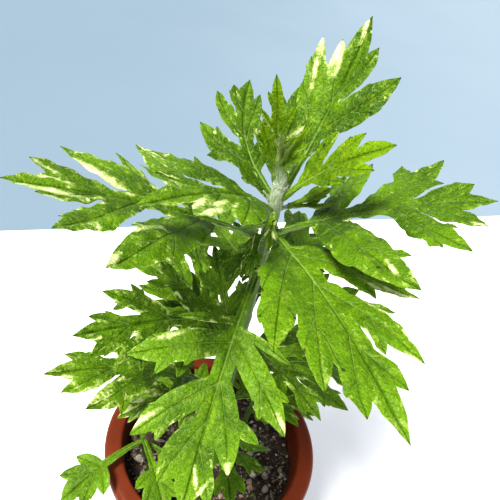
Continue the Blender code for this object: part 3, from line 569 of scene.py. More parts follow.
def flat_blade(form, length, pitch, dice):
    """The leaf cut out flat: its points, triangles, veins and closed rim."""
    first = -CLASP / length
    count = round(length * (1 - first) / pitch)
    shares = [first + (1 - first) * step / count for step in range(count + 1)]
    spine = [Vector((length * share, 0)) for share in shares]
    widths = spine_half_widths(form, length, shares)
    edge = [Vector((point.x, width)) for point, width in zip(spine[:-1], widths)]
    outlines = [edge + [spine[-1]] + [Vector((p.x, -p.y)) for p in reversed(edge)]]
    midrib = [Vector((length * step / 40, 0)) for step in range(41)]
    veins = [Vein(np.array(spine), 0, VEIN_WIDTHS[0])]
    for row in form.lobes:
        for vein, outline, order in lobe_shapes(row, midrib, length, pitch, 1, dice):
            outlines.append(outline)
            if order < NOTCH_ORDER:
                veins.append(Vein(np.array(vein), order, VEIN_WIDTHS[order]))
    rim = split_long(joined_outline(outlines, 0.06), pitch)
    border = np.array(rim)
    closed = np.vstack([border, border[:1]])
    net = lattice(border, pitch)
    net = net[inside(net, border)]
    net = net[segment_gap(net, closed)[0] > RIM_CLEAR * pitch]
    beside = []
    for vein in veins:
        net = net[segment_gap(net, vein.line)[0] > VEIN_CLEAR * pitch] if len(net) else net
        if vein.order < 2:
            ahead = np.gradient(vein.line, axis=0)
            ahead /= np.maximum(np.linalg.norm(ahead, axis=1), TINY)[:, None]
            across = np.stack([-ahead[:, 1], ahead[:, 0]], 1) * VEIN_SIDE * pitch
            beside += [vein.line[1:-2] + across[1:-2], vein.line[1:-2] - across[1:-2]]
    beside = np.vstack(beside)
    keep = inside(beside, border)
    for line in (closed, *(vein.line for vein in veins)):
        keep &= segment_gap(beside, line)[0] > LEAST_CLEAR * pitch
    points, edges = list(rim), []
    for vein in veins:
        line = vein.line[1:] if vein.order == 0 else vein.line
        edges += [(len(points) + i, len(points) + i + 1) for i in range(len(line) - 1)]
        points += [Vector(p) for p in line]
    points += [Vector(p) for p in (*beside[keep], *net)]
    made = delaunay_2d_cdt(points, edges, [list(range(len(rim)))], 1, MERGED * pitch, True)
    triangles = [tuple(face) for face, within in zip(made[2], made[5]) if within]
    used = sorted({index for face in triangles for index in face})
    order = {old: new for new, old in enumerate(used)}
    flat = np.array([made[0][index] for index in used])
    return flat, [tuple(order[i] for i in face) for face in triangles], veins, closed


# The leaf in space.

def pointing(heading, slope):
    """The unit vector with this heading and slope, both in radians."""
    return Vector((*circle(heading, math.cos(slope)), math.sin(slope)))


def rolled(right, up, turn):
    """Two directions at right angles, both turned by this angle in their own plane."""
    x, y = circle(turn)
    return right * x + up * y, up * x - right * y


def midrib_frames(leaf, foot):
    """Four arrays with a row for each step from the leaf's foot to its tip: place, along, left and up."""
    place = foot.copy()
    frames = []
    for step in range(MIDRIB_STEPS + 1):
        share = step / MIDRIB_STEPS
        heading = math.radians(leaf.heading + leaf.sway * share)
        slope = math.radians(leaf.rise - leaf.droop * share)
        along = pointing(heading, slope)
        left = Vector((-math.sin(heading), math.cos(heading), 0))
        left, up = rolled(left, along.cross(left), math.radians(leaf.roll))
        if step:
            place = place + (along + frames[-1][1]) * 0.5 * (leaf.length / MIDRIB_STEPS)
        frames.append((place, along, left, up))
    return [np.array(column) for column in zip(*frames)]


def bent(leaf, form, frames, flat):
    """Where points of the flat blade lie once the leaf is bent, folded and rippled."""
    along, beside = flat[:, 0], flat[:, 1]
    inner = np.clip(along, 0, leaf.length)
    stage = inner / leaf.length * MIDRIB_STEPS
    index = np.minimum(stage.astype(int), MIDRIB_STEPS - 1)
    blend = (stage - index)[:, None]
    centre, forward, left, up = (a[index] * (1 - blend) + a[index + 1] * blend for a in frames)
    fold = math.radians(form.fold)
    reach = np.abs(beside)
    wave = np.sin(RIPPLE_PITCH * along + leaf.heading) * np.minimum(1.0, reach / (RIPPLE_EDGE * leaf.length))
    lift = reach * math.sin(fold) - form.curl * beside**2 + form.ripple * wave
    place = centre + forward * (along - inner)[:, None]
    return place + left * (beside * math.cos(fold))[:, None] + up * lift[:, None]


def blade_normals(leaf, form, frames, flat):
    step = 0.2
    inner = np.stack([np.clip(flat[:, 0], step, leaf.length - step), flat[:, 1]], 1)
    sx, sy = np.array([step, 0]), np.array([0, step])
    ahead = bent(leaf, form, frames, inner + sx) - bent(leaf, form, frames, inner - sx)
    left = bent(leaf, form, frames, flat + sy) - bent(leaf, form, frames, flat - sy)
    normal = np.cross(ahead, left)
    return normal / np.linalg.norm(normal, axis=1)[:, None]


def noise_at(x, y, z):
    """Smooth noise from about -1 to 1."""
    return noise.noise(Vector((x, y, z)))


def wander(points, scale, seed):
    """Smooth noise at each point of the flat blade."""
    return np.array([noise_at(x * scale, y * scale, seed) for x, y in points])


def smooth(low, high, value):
    """From 0 at low to 1 at high, with soft ends."""
    share = np.clip((value - low) / (high - low), 0, 1)
    return share * share * (3 - 2 * share)


def leaf_part(leaf, foot, pitch, cream, seed):
    """One leaf as a Part: a closed thin blade with sunken veins, a rib below, and marks for its material."""
    form = FORMS[leaf.form]
    dice = random.Random(seed)
    flat, triangles, veins, closed = flat_blade(form, leaf.length, pitch, dice)
    frames = midrib_frames(leaf, foot)
    rim = segment_gap(flat, closed)[0]
    gaps = []
    for vein in veins:
        gap, gone, side = segment_gap(flat, vein.line)
        whole = np.linalg.norm(np.diff(vein.line, axis=0), axis=1).sum()
        gaps.append((gap, gone, side, gone / whole, np.full(len(flat), vein.width)))
    gap, gone, side, share, width = np.stack(gaps).transpose(1, 0, 2)
    size = min(1.0, leaf.length / 50)
    thick = width * (1.15 - 0.8 * share) * size
    rib = (gap / thick).min(0)
    nearest = gap.argmin(0)
    row = np.arange(len(flat))
    away, run, turn, far = (rows[nearest, row] for rows in (gap, gone, side, share))
    tips = np.array([vein.line[-1] for vein in veins])
    tip = np.sqrt(((flat[:, None] - tips[None]) ** 2).sum(2)).min(1)

    # How creamy each point is: in streaks along the veins, by sectors, and towards the edges and tips.
    streak = np.array([
        0.75 * noise_at(g * 0.09 + s * 3.1, a * s * 0.95, n * 5.7 + seed)
        + noise_at(g * 0.26, a * s * 2.1 + 7, n * 3.3 + seed)
        for g, a, s, n in zip(run, away, turn, nearest)
    ])
    sector = np.array([noise_at(n * 2.37 + 0.5, s * 1.7, seed * 1.31) for n, s in zip(nearest, turn)])
    edge = smooth(3.2, 0.0, rim) * smooth(0.5, 7.0, tip)
    outer = smooth(0.15, 0.85, far)
    ahead, beside = flat.T / leaf.length
    mask = -0.12 + cream * 0.60 + 0.52 * streak + 0.28 * sector + 0.26 * edge + 0.10 * outer
    mask -= 0.30 * smooth(1.4, 0.4, np.abs(flat[:, 1])) * smooth(0.9, 0.5, ahead)
    for along, across, half, wide, spin in PATCHES.get(leaf.name, ()):
        x, y = ahead - along, beside - across
        c, s = circle(math.radians(spin))
        reach = np.sqrt(((x * c + y * s) / half) ** 2 + ((y * c - x * s) / wide) ** 2)
        mask = np.maximum(mask, 1.10 - 0.42 * reach + 0.24 * wander(flat, 0.55, seed + 31))

    # How far it stands off the smooth leaf: sunk along the veins, puffed between them, waved at the rim.
    own = np.minimum(np.stack([g for g, v in zip(gap, veins) if v.order < 2]).min(0), 6.0)
    relief = -VEIN_SINK * size * np.exp(-own / 1.3) * smooth(0.9, 2.6, rim + own)
    relief += size * (-0.030 * own**2 + PUFF * wander(flat, 0.17, seed + 11) * smooth(0.3, 2.5, own))
    wave = np.sin(0.85 * run + 2.0 * nearest)
    relief += size * RIM_WAVE * wave * smooth(2.6, 0.2, rim) * smooth(0.8, 3.0, own)
    relief += size * CRINKLE * wander(flat, 0.50, seed + 5)
    half = BLADE_HALF * (0.45 + 0.55 * smooth(0.0, 0.9, rim)) * (0.7 + 0.3 * size)

    # The stalk's rounded rib below, which thins out along the midrib, and its grooved top.
    reach = np.clip(ahead, 0, 1)
    keel_width = PETIOLE_HALF_WIDTH * (0.95 - 0.55 * reach) * size**0.5
    petiole = smooth(form.petiole + 0.10, form.petiole - 0.06, reach)
    keel_width = np.maximum(keel_width, petiole * (PETIOLE_HALF_WIDTH + 0.15))
    round_off = np.sqrt(np.clip(1 - (flat[:, 1] / keel_width) ** 2, 0, 1))
    keel = (PETIOLE_DEPTH - 0.3) * size**0.5 * (1 - reach) ** 1.2 * round_off
    relief -= petiole * 0.32 * np.exp(-((flat[:, 1] / 0.5) ** 2))
    dome = petiole * 0.35 * round_off

    place = bent(leaf, form, frames, flat)
    normal = blade_normals(leaf, form, frames, flat)
    top = place + normal * (relief + half + dome)[:, None]
    bottom = place + normal * (relief - half - keel)[:, None]
    count = len(flat)
    faces = triangles + [(a + count, c + count, b + count) for a, b, c in triangles]
    for a, b in rim_edges(triangles):
        faces += [(b, a, a + count), (b, a + count, b + count)]
    ones = np.ones(count)
    pale = np.where(nearest == 0, smooth(0.72, 0.30, far), 0.55 * smooth(0.95, 0.25, far))
    # A leaf's lightness: random tone, or a set value that is painted light and shade.
    tone_and_painted_light = TONE_AND_PAINTED_LIGHT.get(leaf.name, 2 * dice.random() - 1)
    columns = (
        (flat[:, 0], flat[:, 1], ones * seed), (np.minimum(rib, 6), np.minimum(rim, 4), np.minimum(tip, 6)),
        (mask, run - 1.15 * away, 0 * ones), (pale, ones * tone_and_painted_light, outer),
    )
    blade, marks, look, tone = (np.vstack([np.stack(column, 1)] * 2) for column in columns)
    look[count:, 2] = 1  # The underside.
    return Part(np.vstack([top, bottom]), faces, blade, marks, look, tone, [0] * len(faces))


def rod_part(knots, radii, sides, ribs, seed, slot):
    """A closed rod along knots, with shallow ribs along it, as a Part."""
    rings, run = [], 0.0
    side = Vector((1, 0, 0))
    points, blade = [], []
    for index, (knot, radius) in enumerate(zip(knots, radii)):
        before = knots[max(index - 1, 0)]
        ahead = (knots[min(index + 1, len(knots) - 1)] - before).normalized()
        side = (side - ahead * side.dot(ahead)).normalized()
        up = ahead.cross(side)
        run += (knot - before).length
        rings.append(list(range(len(points), len(points) + sides)))
        for turn in turns(sides):
            far = radius * (1 + RIB_HEIGHT * math.cos(ribs * turn))
            points.append(knot + (side * math.cos(turn) + up * math.sin(turn)) * far)
            blade.append((run, turn * radius, seed))
    faces = bands(rings) + [tuple(reversed(rings[0])), tuple(rings[-1])]
    count = len(points)
    plain = np.zeros((count, 3))
    return Part(
        np.array(points), faces, np.array(blade), np.tile([3.0, 3.0, 6.0], (count, 1)), plain, plain,
        [slot] * len(faces),
    )


# Objects and meshes.

def linked(name, data):
    """A new object of the scene with this data."""
    made = bpy.data.objects.new(name, data)
    bpy.context.scene.collection.objects.link(made)
    return made


def mesh_of(name, points, faces, *looks):
    """A mesh from points in millimetres."""
    mesh = bpy.data.meshes.new(name)
    mesh.from_pydata([tuple(point * MM) for point in points], [], faces)
    for look in looks:
        mesh.materials.append(look)
    return mesh


def mark(mesh, name, rows):
    """Three numbers at each point of the mesh, which its material reads by this name."""
    values = np.array(rows, np.float32)
    mesh.attributes.new(name, "FLOAT_VECTOR", "POINT").data.foreach_set("vector", values.ravel())


def placed(name, mesh, material_slot, *nodes, sharp=52):
    """A piece of this mesh, smooth but for its sharp edges, which stands for the CAD nodes."""
    mesh.polygons.foreach_set("use_smooth", [True] * len(mesh.polygons))
    mesh.set_sharp_from_angle(angle=math.radians(sharp))
    mesh.validate()
    made = linked(name, mesh)
    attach(made, "root")
    if nodes:
        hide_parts(*nodes)


def build(name, parts, looks, material_slot, node):
    """One piece from Parts, which stands for the CAD node."""
    start, faces, slots = 0, [], []
    for part in parts:
        faces += [tuple(index + start for index in face) for face in part.faces]
        slots += part.slots
        start += len(part.points)
    mesh = mesh_of(name, np.vstack([part.points for part in parts]), faces, *looks)
    for key in ("blade", "marks", "look", "tone"):
        mark(mesh, key, np.vstack([getattr(part, key) for part in parts]))
    mesh.polygons.foreach_set("material_index", slots)
    placed(name, mesh, material_slot, node)


# Materials.

class Value:
    """A node's output. Sums, products and spans of it make new nodes in its graph."""

    def __init__(self, graph, socket):
        self.graph = graph
        self.socket = socket

    def __add__(self, other):
        return self.graph.math("ADD", self, other)

    def __sub__(self, other):
        return self.graph.math("SUBTRACT", self, other)

    def __rsub__(self, other):
        return self.graph.math("SUBTRACT", other, self)

    def __mul__(self, other):
        return self.graph.math("MULTIPLY", self, other)

    def span(self, low, high, start=0.0, end=1.0, kind="SMOOTHSTEP"):
        """The value mapped from low..high to start..end, without going past them."""
        inputs = enumerate((self, low, high, start, end))
        return self.graph.value("MapRange", inputs, interpolation_type=kind)


class Graph:
    """A material's nodes, made by short calls. Its colour starts as one and is painted over in layers."""

    def __init__(self, name, colour, **settings):
        self.material = bpy.data.materials.new(name)
        self.material.use_nodes = True
        self.tree = self.material.node_tree
        self.shader = self.tree.nodes["Principled BSDF"].inputs
        self.colour = colour
        for key, value in settings.items():
            self.shader[key.replace("_", " ")].default_value = value

    def put(self, socket, value):
        if isinstance(value, Value):
            self.tree.links.new(value.socket, socket)
        elif isinstance(value, tuple) and socket.type == "RGBA":
            socket.default_value = (*value, 1)
        else:
            socket.default_value = value

    def node(self, kind, inputs, **settings):
        made = self.tree.nodes.new("ShaderNode" + kind)
        for key, value in settings.items():
            setattr(made, key, value)
        for key, value in dict(inputs).items():
            self.put(made.inputs[key], value)
        return made

    def value(self, kind, inputs=(), output=0, **settings):
        return Value(self, self.node(kind, inputs, **settings).outputs[output])

    def math(self, operation, *values):
        return self.value("Math", enumerate(values), operation=operation)

    def mix(self, share, a, b):
        return self.value("Mix", {0: share, 6: a, 7: b}, 2, data_type="RGBA")

    def paint(self, share, colour):
        """Lays this share of a colour over the colour so far."""
        self.colour = self.mix(share, self.colour, colour)

    def noise(self, at, scale, detail=3.0, rough=0.55, warp=0.0):
        inputs = {"Vector": at, "Scale": scale, "Detail": detail, "Roughness": rough, "Distortion": warp}
        return self.value("TexNoise", inputs, "Fac")

    def cells(self, at, scale, feature="F1"):
        return self.value("TexVoronoi", {"Vector": at, "Scale": scale}, "Distance", feature=feature)

    def attribute(self, name):
        return self.value("Attribute", output="Vector", attribute_name=name)

    def place(self):
        """The point's own place, in metres."""
        return self.value("TexCoord", output="Object")

    def split(self, vector):
        return [Value(self, socket) for socket in self.node("SeparateXYZ", {"Vector": vector}).outputs]

    def stretch(self, vector, *scale):
        return self.value("VectorMath", {0: vector, 1: scale}, operation="MULTIPLY")

    def finish(self, roughness=None, height=None, distance=0.0, strength=1.0):
        self.put(self.shader["Base Color"], self.colour)
        if roughness:
            self.put(self.shader["Roughness"], roughness)
            inputs = {"Strength": strength, "Distance": distance * MM, "Height": height}
            self.put(self.shader["Normal"], self.value("Bump", inputs))
        return self.material


def scaled(colour, share):
    return tuple(share * c for c in colour)


def leaf_look(name, glow, deep, bright, lime, under):
    """Leaf tissue: green between pale sunken veins, a fine net of veinlets, cream flecks and dark points."""
    g = Graph(
        name, deep, Subsurface_Weight=glow, Subsurface_Scale=0.6 * MM, Subsurface_Radius=(0.9, 1, 0.25),
        Specular_IOR_Level=0.20, IOR=1.42,
    )
    at = g.attribute("blade")
    rib, rim, tip = g.split(g.attribute("marks"))
    cream, chevron, below = g.split(g.attribute("look"))
    ridge, tone_and_painted_light, outer = g.split(g.attribute("tone"))
    broad = g.noise(at, 0.07, 2)
    mid = g.noise(at, 0.42, 4, 0.6, 0.4)
    fine = g.noise(at, 1.9, 3, 0.6)
    net = g.cells(at, 0.62, "DISTANCE_TO_EDGE")
    veinlet = g.math("PINGPONG", g.math("DIVIDE", chevron, 3.4) + mid * 0.9, 0.5)
    veinlet = veinlet.span(0, 0.085, 1, 0) * rim.span(0.3, 1.5)
    mesh = net.span(0, 0.10, 1, 0)

    # Between deep and bright green: random tone, lobe tips, and each leaf's set lightness, which is painted
    # light and shade.
    g.paint((broad + tone_and_painted_light * 0.10 + outer * 0.12).span(0.32, 0.78), bright)
    g.paint(mid.span(0.50, 0.74) * 0.50, lime)
    g.paint(fine.span(0.66, 0.34) * 0.42, scaled(deep, 0.6))
    g.paint(mesh * 0.15, lime)
    # Painted shade: darker green in the sunken vein grooves and veinlets, less on the pale midrib.
    groove_shade = rib.span(0.2, 2.4, 1, 0) * (1.0 - ridge)
    g.paint((groove_shade + veinlet * 0.6) * 0.42, scaled(deep, 0.45))
    fleck = cream + (fine - 0.5) * 0.50 + (mid - 0.5) * 0.55
    g.paint(fleck.span(0.44, 0.62) * 0.58, HALF_CREAM)
    g.paint(fleck.span(0.65, 0.73) * 0.88, FULL_CREAM)
    g.paint(fleck.span(0.86, 1.04), PALEST_CREAM)
    speck = (g.noise(at, 0.95, 3, 0.75, 1.4) + cream * 0.10).span(0.67, 0.71)
    g.paint(speck * (1.0 - rib.span(0, 2, 1, 0)) * 0.75, SPECK)
    line = rib.span(0.15, 0.80, 1, 0)
    g.paint(line * ridge * 0.66, VEIN)
    g.paint(tip.span(0.25, 0.95, 0.85, 0), DARK_POINT)
    g.paint(below * 0.72, g.mix((line + mesh) * 0.5, under, scaled(under, 1.35)))

    rough = fine.span(0.25, 0.75, 0.38, 0.54, "LINEAR") + below * 0.35
    height = rib.span(0, 1.7) * 0.9 + net.span(0, 0.30) * 0.55 + (veinlet * -0.50 + fine * 0.5)
    return g.finish(rough, height, 0.24, 0.85)


def stem_look():
    """A green ribbed stem, felted with pale hairs towards its top."""
    g = Graph(
        "Green_Stem", scaled(STEM_GREEN, 0.62), Subsurface_Weight=0.10, Subsurface_Scale=0.8 * MM,
        Sheen_Weight=0.25, Sheen_Roughness=0.4,
    )
    at = g.attribute("blade")
    height = g.split(g.place())[2]
    along = g.noise(g.stretch(at, 0.10, 1, 1), 1.6, 4)
    hairy = height.span(0.230, 0.244) * height.span(0.248, 0.254, 1, 0.15)
    hairy = hairy * g.noise(g.stretch(at, 0.35, 1.6, 1), 2.2, 4).span(0.30, 0.62)
    g.paint(along.span(0.30, 0.70), STEM_GREEN)
    g.paint(g.noise(at, 0.5, 3).span(0.55, 0.75) * 0.35, STEM_BROWN)
    g.paint(hairy * 0.80, STEM_FELT)
    rough = hairy.span(0, 1, 0.48, 0.92, "LINEAR")
    return g.finish(rough, along + hairy * 0.5, 0.22, 0.7)


def plastic_look():
    """Red-brown moulded plastic: fine grain, faint turning marks, scuffs, and soil dust inside."""
    g = Graph("Red_Brown_Plastic", (0.090, 0.015, 0.004), IOR=1.48, Specular_IOR_Level=0.15)
    place = g.place()
    x, y, z = g.split(place)
    broad = g.noise(place, 28, 3)
    grain = g.noise(place, 2600, 2)
    rings = g.noise(g.stretch(place, 6, 6, 900), 1, 2)
    radius = g.math("SQRT", x * x + y * y)
    scuff = g.noise(g.stretch(place, 1, 1, 5), 150, 5, 0.7, 0.6).span(0.60, 0.72)
    dust = g.noise(place, 240, 5, 0.7).span(0.46, 0.66) * radius.span(0.0462, 0.0440)
    dust = dust * z.span(0.0895, 0.079, 0.10, 0.85)
    g.paint(broad.span(0.3, 0.7), (0.140, 0.025, 0.007))
    g.paint(grain.span(0.35, 0.75) * 0.25, (0.160, 0.034, 0.012))
    g.paint(scuff * 0.22, (0.22, 0.085, 0.050))
    g.paint(dust, (0.060, 0.042, 0.030))
    rough = broad.span(0.3, 0.7, 0.42, 0.52, "LINEAR") + (dust * 0.4 + scuff * 0.18)
    return g.finish(rough, grain * 0.5 + rings * 0.6 + dust * 0.8, 0.08, 0.6)


def soil_look():
    """Damp potting mix: near black, with fibres and paler crumbs."""
    g = Graph("Potting_Soil", (0.010, 0.007, 0.005), IOR=1.4)
    place = g.place()
    crumbs = g.noise(place, 420, 6, 0.7)
    specks = g.cells(place, 700)
    fibre = g.noise(g.stretch(place, 1, 3, 1), 900, 3, 0.6, 1.5)
    g.paint(crumbs.span(0.35, 0.68), (0.050, 0.034, 0.024))
    g.paint(fibre.span(0.60, 0.70) * 0.6, (0.13, 0.085, 0.050))
    g.paint(specks.span(0.12, 0.02) * 0.7, (0.24, 0.20, 0.16))
    return g.finish(crumbs.span(0.3, 0.7, 0.70, 0.98, "LINEAR"), crumbs + specks * 0.4, 1.1, 0.9)


def grit_look():
    """Stones, bark and pumice in the soil. Each piece's tint comes with its mesh."""
    g = Graph("Soil_Grit", None, IOR=1.45)
    ramp = g.node("ValToRGB", {0: g.split(g.attribute("look"))[0]})
    elements = ramp.color_ramp.elements
    while len(elements) < len(GRIT_COLOURS):
        elements.new(0.5)
    for element, (share, colour) in zip(elements, GRIT_COLOURS):
        element.position = share
        element.color = (*colour, 1)
    g.colour = Value(g, ramp.outputs[0])
    place = g.place()
    rough = g.noise(place, 800, 5, 0.7)
    g.paint(rough.span(0.40, 0.70) * 0.45, (0.020, 0.014, 0.010))
    g.paint(g.noise(place, 260, 3).span(0.54, 0.70) * 0.70, (0.026, 0.018, 0.013))
    return g.finish(rough.span(0.3, 0.7, 0.66, 0.95, "LINEAR"), rough, 0.35, 0.9)


def hair_look():
    g = Graph("Plant_Hairs", (0.62, 0.66, 0.52), Roughness=0.6, Sheen_Weight=0.4)
    g.paint(g.noise(g.place(), 900), (0.86, 0.88, 0.80))
    return g.finish()


# The pot, its soil and the stems.

def baked(name, shape):
    """A bmesh as a mesh."""
    mesh = bpy.data.meshes.new(name)
    shape.to_mesh(mesh)
    shape.free()
    return mesh


def turned(profile, steps):
    """A bmesh turned from (radius, height) points that start and end on the axis."""
    shape = bmesh.new()
    rings = []
    for radius, height in profile:
        if radius == 0:
            rings.append([shape.verts.new((0, 0, height * MM))] * steps)
            continue
        spots = [circle(turn, radius) for turn in turns(steps)]
        rings.append([shape.verts.new((x * MM, y * MM, height * MM)) for x, y in spots])
    for corners in bands(rings):
        shape.faces.new(list(dict.fromkeys(corners)))
    bmesh.ops.recalc_face_normals(shape, faces=shape.faces)
    return shape


def rounded(profile, radius, steps=4):
    """The profile with its inner corners rounded by up to this radius."""
    made = [profile[0]]
    for corners in zip(profile, profile[1:], profile[2:]):
        a, b, c = (Vector(corner) for corner in corners)
        first, last = (b + (end - b).normalized() * min(radius, (end - b).length * 0.45) for end in (a, c))
        made += [tuple(point) for point in arc(first, b, last, steps)]
    return made + [profile[-1]]


def make_pot(look):
    """The turned pot with its wide rim, skirt and drain holes."""
    top, wall, skirt = POT_HEIGHT, POT_WALL, POT_HEIGHT - POT_SKIRT
    base, mouth, rim = POT_BASE_RADIUS, POT_MOUTH_RADIUS, POT_RIM_RADIUS
    profile = [
        (0, POT_FLOOR), (base - wall - 1, POT_FLOOR), (base - wall + 0.3, POT_FLOOR + 1.5),
        (mouth, top - POT_LIP), (mouth + 0.3, top - 0.7), (mouth + 1.2, top), (rim - 2.6, top - 0.5),
        (rim - 0.9, top - 1.3), (rim, top - 3), (rim - 0.8, skirt), (rim - 2.0, skirt),
        (rim - 1.4, top - 3.2), (rim - 2.8, top - 1.9), (mouth + wall + 0.6, top - 1.6),
        (mouth + wall - 0.1, top - 3), (base, 1.2), (base - 1, 0), (0, 0),
    ]
    pot = linked("Nursery_Pot_guide", baked("Nursery_Pot", turned(rounded(profile, 0.9), POT_STEPS)))
    cutters = []
    for index in range(DRAIN_HOLES):
        hole = bmesh.new()
        bmesh.ops.create_cone(
            hole, cap_ends=True, segments=32, radius1=DRAIN_RADIUS * MM, radius2=DRAIN_RADIUS * MM,
            depth=4 * POT_FLOOR * MM,
        )
        spot = circle(math.tau * (index + 0.5) / DRAIN_HOLES, DRAIN_CIRCLE)
        bmesh.ops.translate(hole, verts=hole.verts, vec=Vector((*spot, 0)) * MM)
        cutters.append(linked(f"hole_{index}", baked("hole", hole)))
        modifier = pot.modifiers.new("hole", "BOOLEAN")
        modifier.operation = "DIFFERENCE"
        modifier.solver = "EXACT"
        modifier.object = cutters[-1]
    bpy.context.view_layer.update()
    made = bpy.data.meshes.new_from_object(pot.evaluated_get(bpy.context.evaluated_depsgraph_get()))
    for used in (pot, *cutters):
        bpy.data.objects.remove(used)
    made.materials.clear()
    made.materials.append(look)
    placed("Nursery_Pot", made, "pot_plastic", "Pot", sharp=40)


def rough_at(x, y, layer, pitch):
    """Smooth noise over the soil."""
    return noise.noise(Vector((x, y, layer)) * pitch)


def soil_height(x, y):
    """The soil's surface: lumps of a few millimetres, a little higher round the stem."""
    rough = rough_at(x, y, 0, LUMP_PITCH) + 0.6 * rough_at(x, y, 9, GRIT_PITCH)
    mound = MOUND_HEIGHT * math.exp(-(x * x + y * y) / MOUND_REACH**2)
    return SOIL_LEVEL + SOIL_RELIEF * rough + mound


def make_soil(look):
    """The soil's surface in crumbs, and its plain sides down to the pot's floor."""
    outer = pot_inner_radius(SOIL_LEVEL) - 0.15
    points = [Vector((0, 0, soil_height(0, 0)))]
    for ring in range(1, SOIL_RINGS + 1):
        drop = 0.5 * smooth(0.93, 1.0, ring / SOIL_RINGS)
        for turn in turns(SOIL_STEPS):
            x, y = circle(turn, outer * ring / SOIL_RINGS)
            crumb = 0.75 * abs(rough_at(x, y, 3, 0.8)) + 0.45 * rough_at(x, y, 5, 1.9)
            points.append(Vector((x, y, soil_height(x, y) + crumb - 0.2 - drop)))
    for height, gap in ((SOIL_LEVEL - 4, 0.25), (POT_FLOOR + 4, 0.25), (POT_FLOOR + 0.3, 2.0)):
        radius = pot_inner_radius(height) - gap
        points += [Vector((*circle(turn, radius), height)) for turn in turns(SOIL_STEPS)]
    points.append(Vector((0, 0, POT_FLOOR + 0.3)))
    faces = []
    for step in range(SOIL_STEPS):
        after = (step + 1) % SOIL_STEPS
        faces.append((0, 1 + step, 1 + after))
        for ring in range(SOIL_RINGS + 2):
            low, high = 1 + ring * SOIL_STEPS, 1 + (ring + 1) * SOIL_STEPS
            faces.append((low + step, high + step, high + after, low + after))
        faces.append((len(points) - 1, high + after, high + step))
    placed("Potting_Mix", mesh_of("Potting_Mix", points, faces, look), "soil", "Soil", sharp=60)


def make_grit(look):
    """Stones, bark chips and crumbs half sunk in the soil, in one mesh for each size."""
    dice = random.Random(GRIT_SEED)
    outer = pot_inner_radius(SOIL_LEVEL) - 0.4
    for name, count, small, large, fineness in GRIT:
        ball = bmesh.new()
        bmesh.ops.create_icosphere(ball, subdivisions=fineness, radius=1)
        ball.verts.ensure_lookup_table()
        knots = [vertex.co.copy() for vertex in ball.verts]
        sides = [tuple(vertex.index for vertex in face.verts) for face in ball.faces]
        ball.free()
        points, faces, tints = [], [], []
        for index in range(count):
            size = dice.uniform(small, large) / 2
            radius = (outer - size) * math.sqrt(dice.random())
            x, y = circle(dice.uniform(0, math.tau), radius)
            turn = dice.uniform(0, math.tau)
            axis = Vector((dice.random(), dice.random(), 0.4)).normalized()
            sliver = dice.random() < SLIVERS
            stretch = Vector((dice.uniform(0.8, 1.3), dice.uniform(0.7, 1.1), dice.uniform(0.55, 0.9)))
            if sliver:
                stretch = Vector((dice.uniform(1.7, 2.6), 0.5, 0.35))
            seat = Vector((x, y, soil_height(x, y) + size * dice.uniform(0.05, 0.45)))
            tint = dice.choice(GRIT_TINTS)
            tint = 1.0 if dice.random() < GREEN_CRUMBS else tint
            spin = Matrix.Rotation(turn, 3, axis)
            faces += [tuple(len(points) + corner for corner in side) for side in sides]
            for knot in knots:
                bump = 1 + 0.34 * noise.noise(knot * 1.3 + Vector((index, 0, small * 9)))
                points.append(seat + spin @ (knot * stretch * (size * bump)))
            tints += [(tint, 0, 0)] * len(knots)
        mesh = mesh_of(name, points, faces, look)
        mark(mesh, "look", tints)
        placed(name, mesh, "soil", sharp=38)


def make_stem(look):
    """The ribbed main stem, a little swollen where each leaf leaves it."""
    heights = np.arange(SOIL_LEVEL - ROOT_DEPTH, STEM_TOP + 0.7, STEM_STEP)
    radii = []
    for height in heights:
        swell = sum(math.exp(-(((height - leaf.height) / NODE_WIDTH) ** 2)) for leaf in LEAVES)
        radii.append(stem_radius(height) * (1 + NODE_SWELL * min(swell, 1.3)))
    part = rod_part([stem_centre(height) for height in heights], radii, 36, 8, STEM_SEED, 0)
    build("Ribbed_Stem", [part], [look], "stem", "Main_Stem")


def shoot_parts(shoot, number):
    """A thin stem with its small leaves, as Parts."""
    along = pointing(math.radians(shoot.heading), math.radians(shoot.rise))
    first, last = shoot.radii
    knots = [shoot.foot + along * shoot.reach * step / 12 for step in range(13)]
    radii = [first + (last - first) * step / 12 for step in range(13)]
    if shoot.root:
        knots = [shoot.foot - Vector((0, 0, shoot.root * share)) for share in (1, 0.75, 0.5, 0.25)] + knots
        radii = [first] * 4 + radii
    else:
        knots.insert(0, shoot.foot - along * CLASP)
        radii.insert(0, first * 1.3)
    knots.append(knots[-1] + along * last * 0.8)
    radii.append(last * 0.35)
    parts = [rod_part(knots, radii, 16, 5, number, 1)]
    cream = CREAM.get(shoot.name, USUAL_CREAM)
    for index, (form, share, heading, rise, droop, roll, length) in enumerate(shoot.leaves):
        leaf = Leaf(f"{shoot.name}_{index}", form, 0, heading, rise, droop, 0, roll, length)
        foot = shoot.foot + along * shoot.reach * share
        pitch = SMALL_PITCH if length > SMALL_LENGTH else TINY_PITCH
        parts.append(leaf_part(leaf, foot, pitch, cream, number * 7 + index))
    return parts


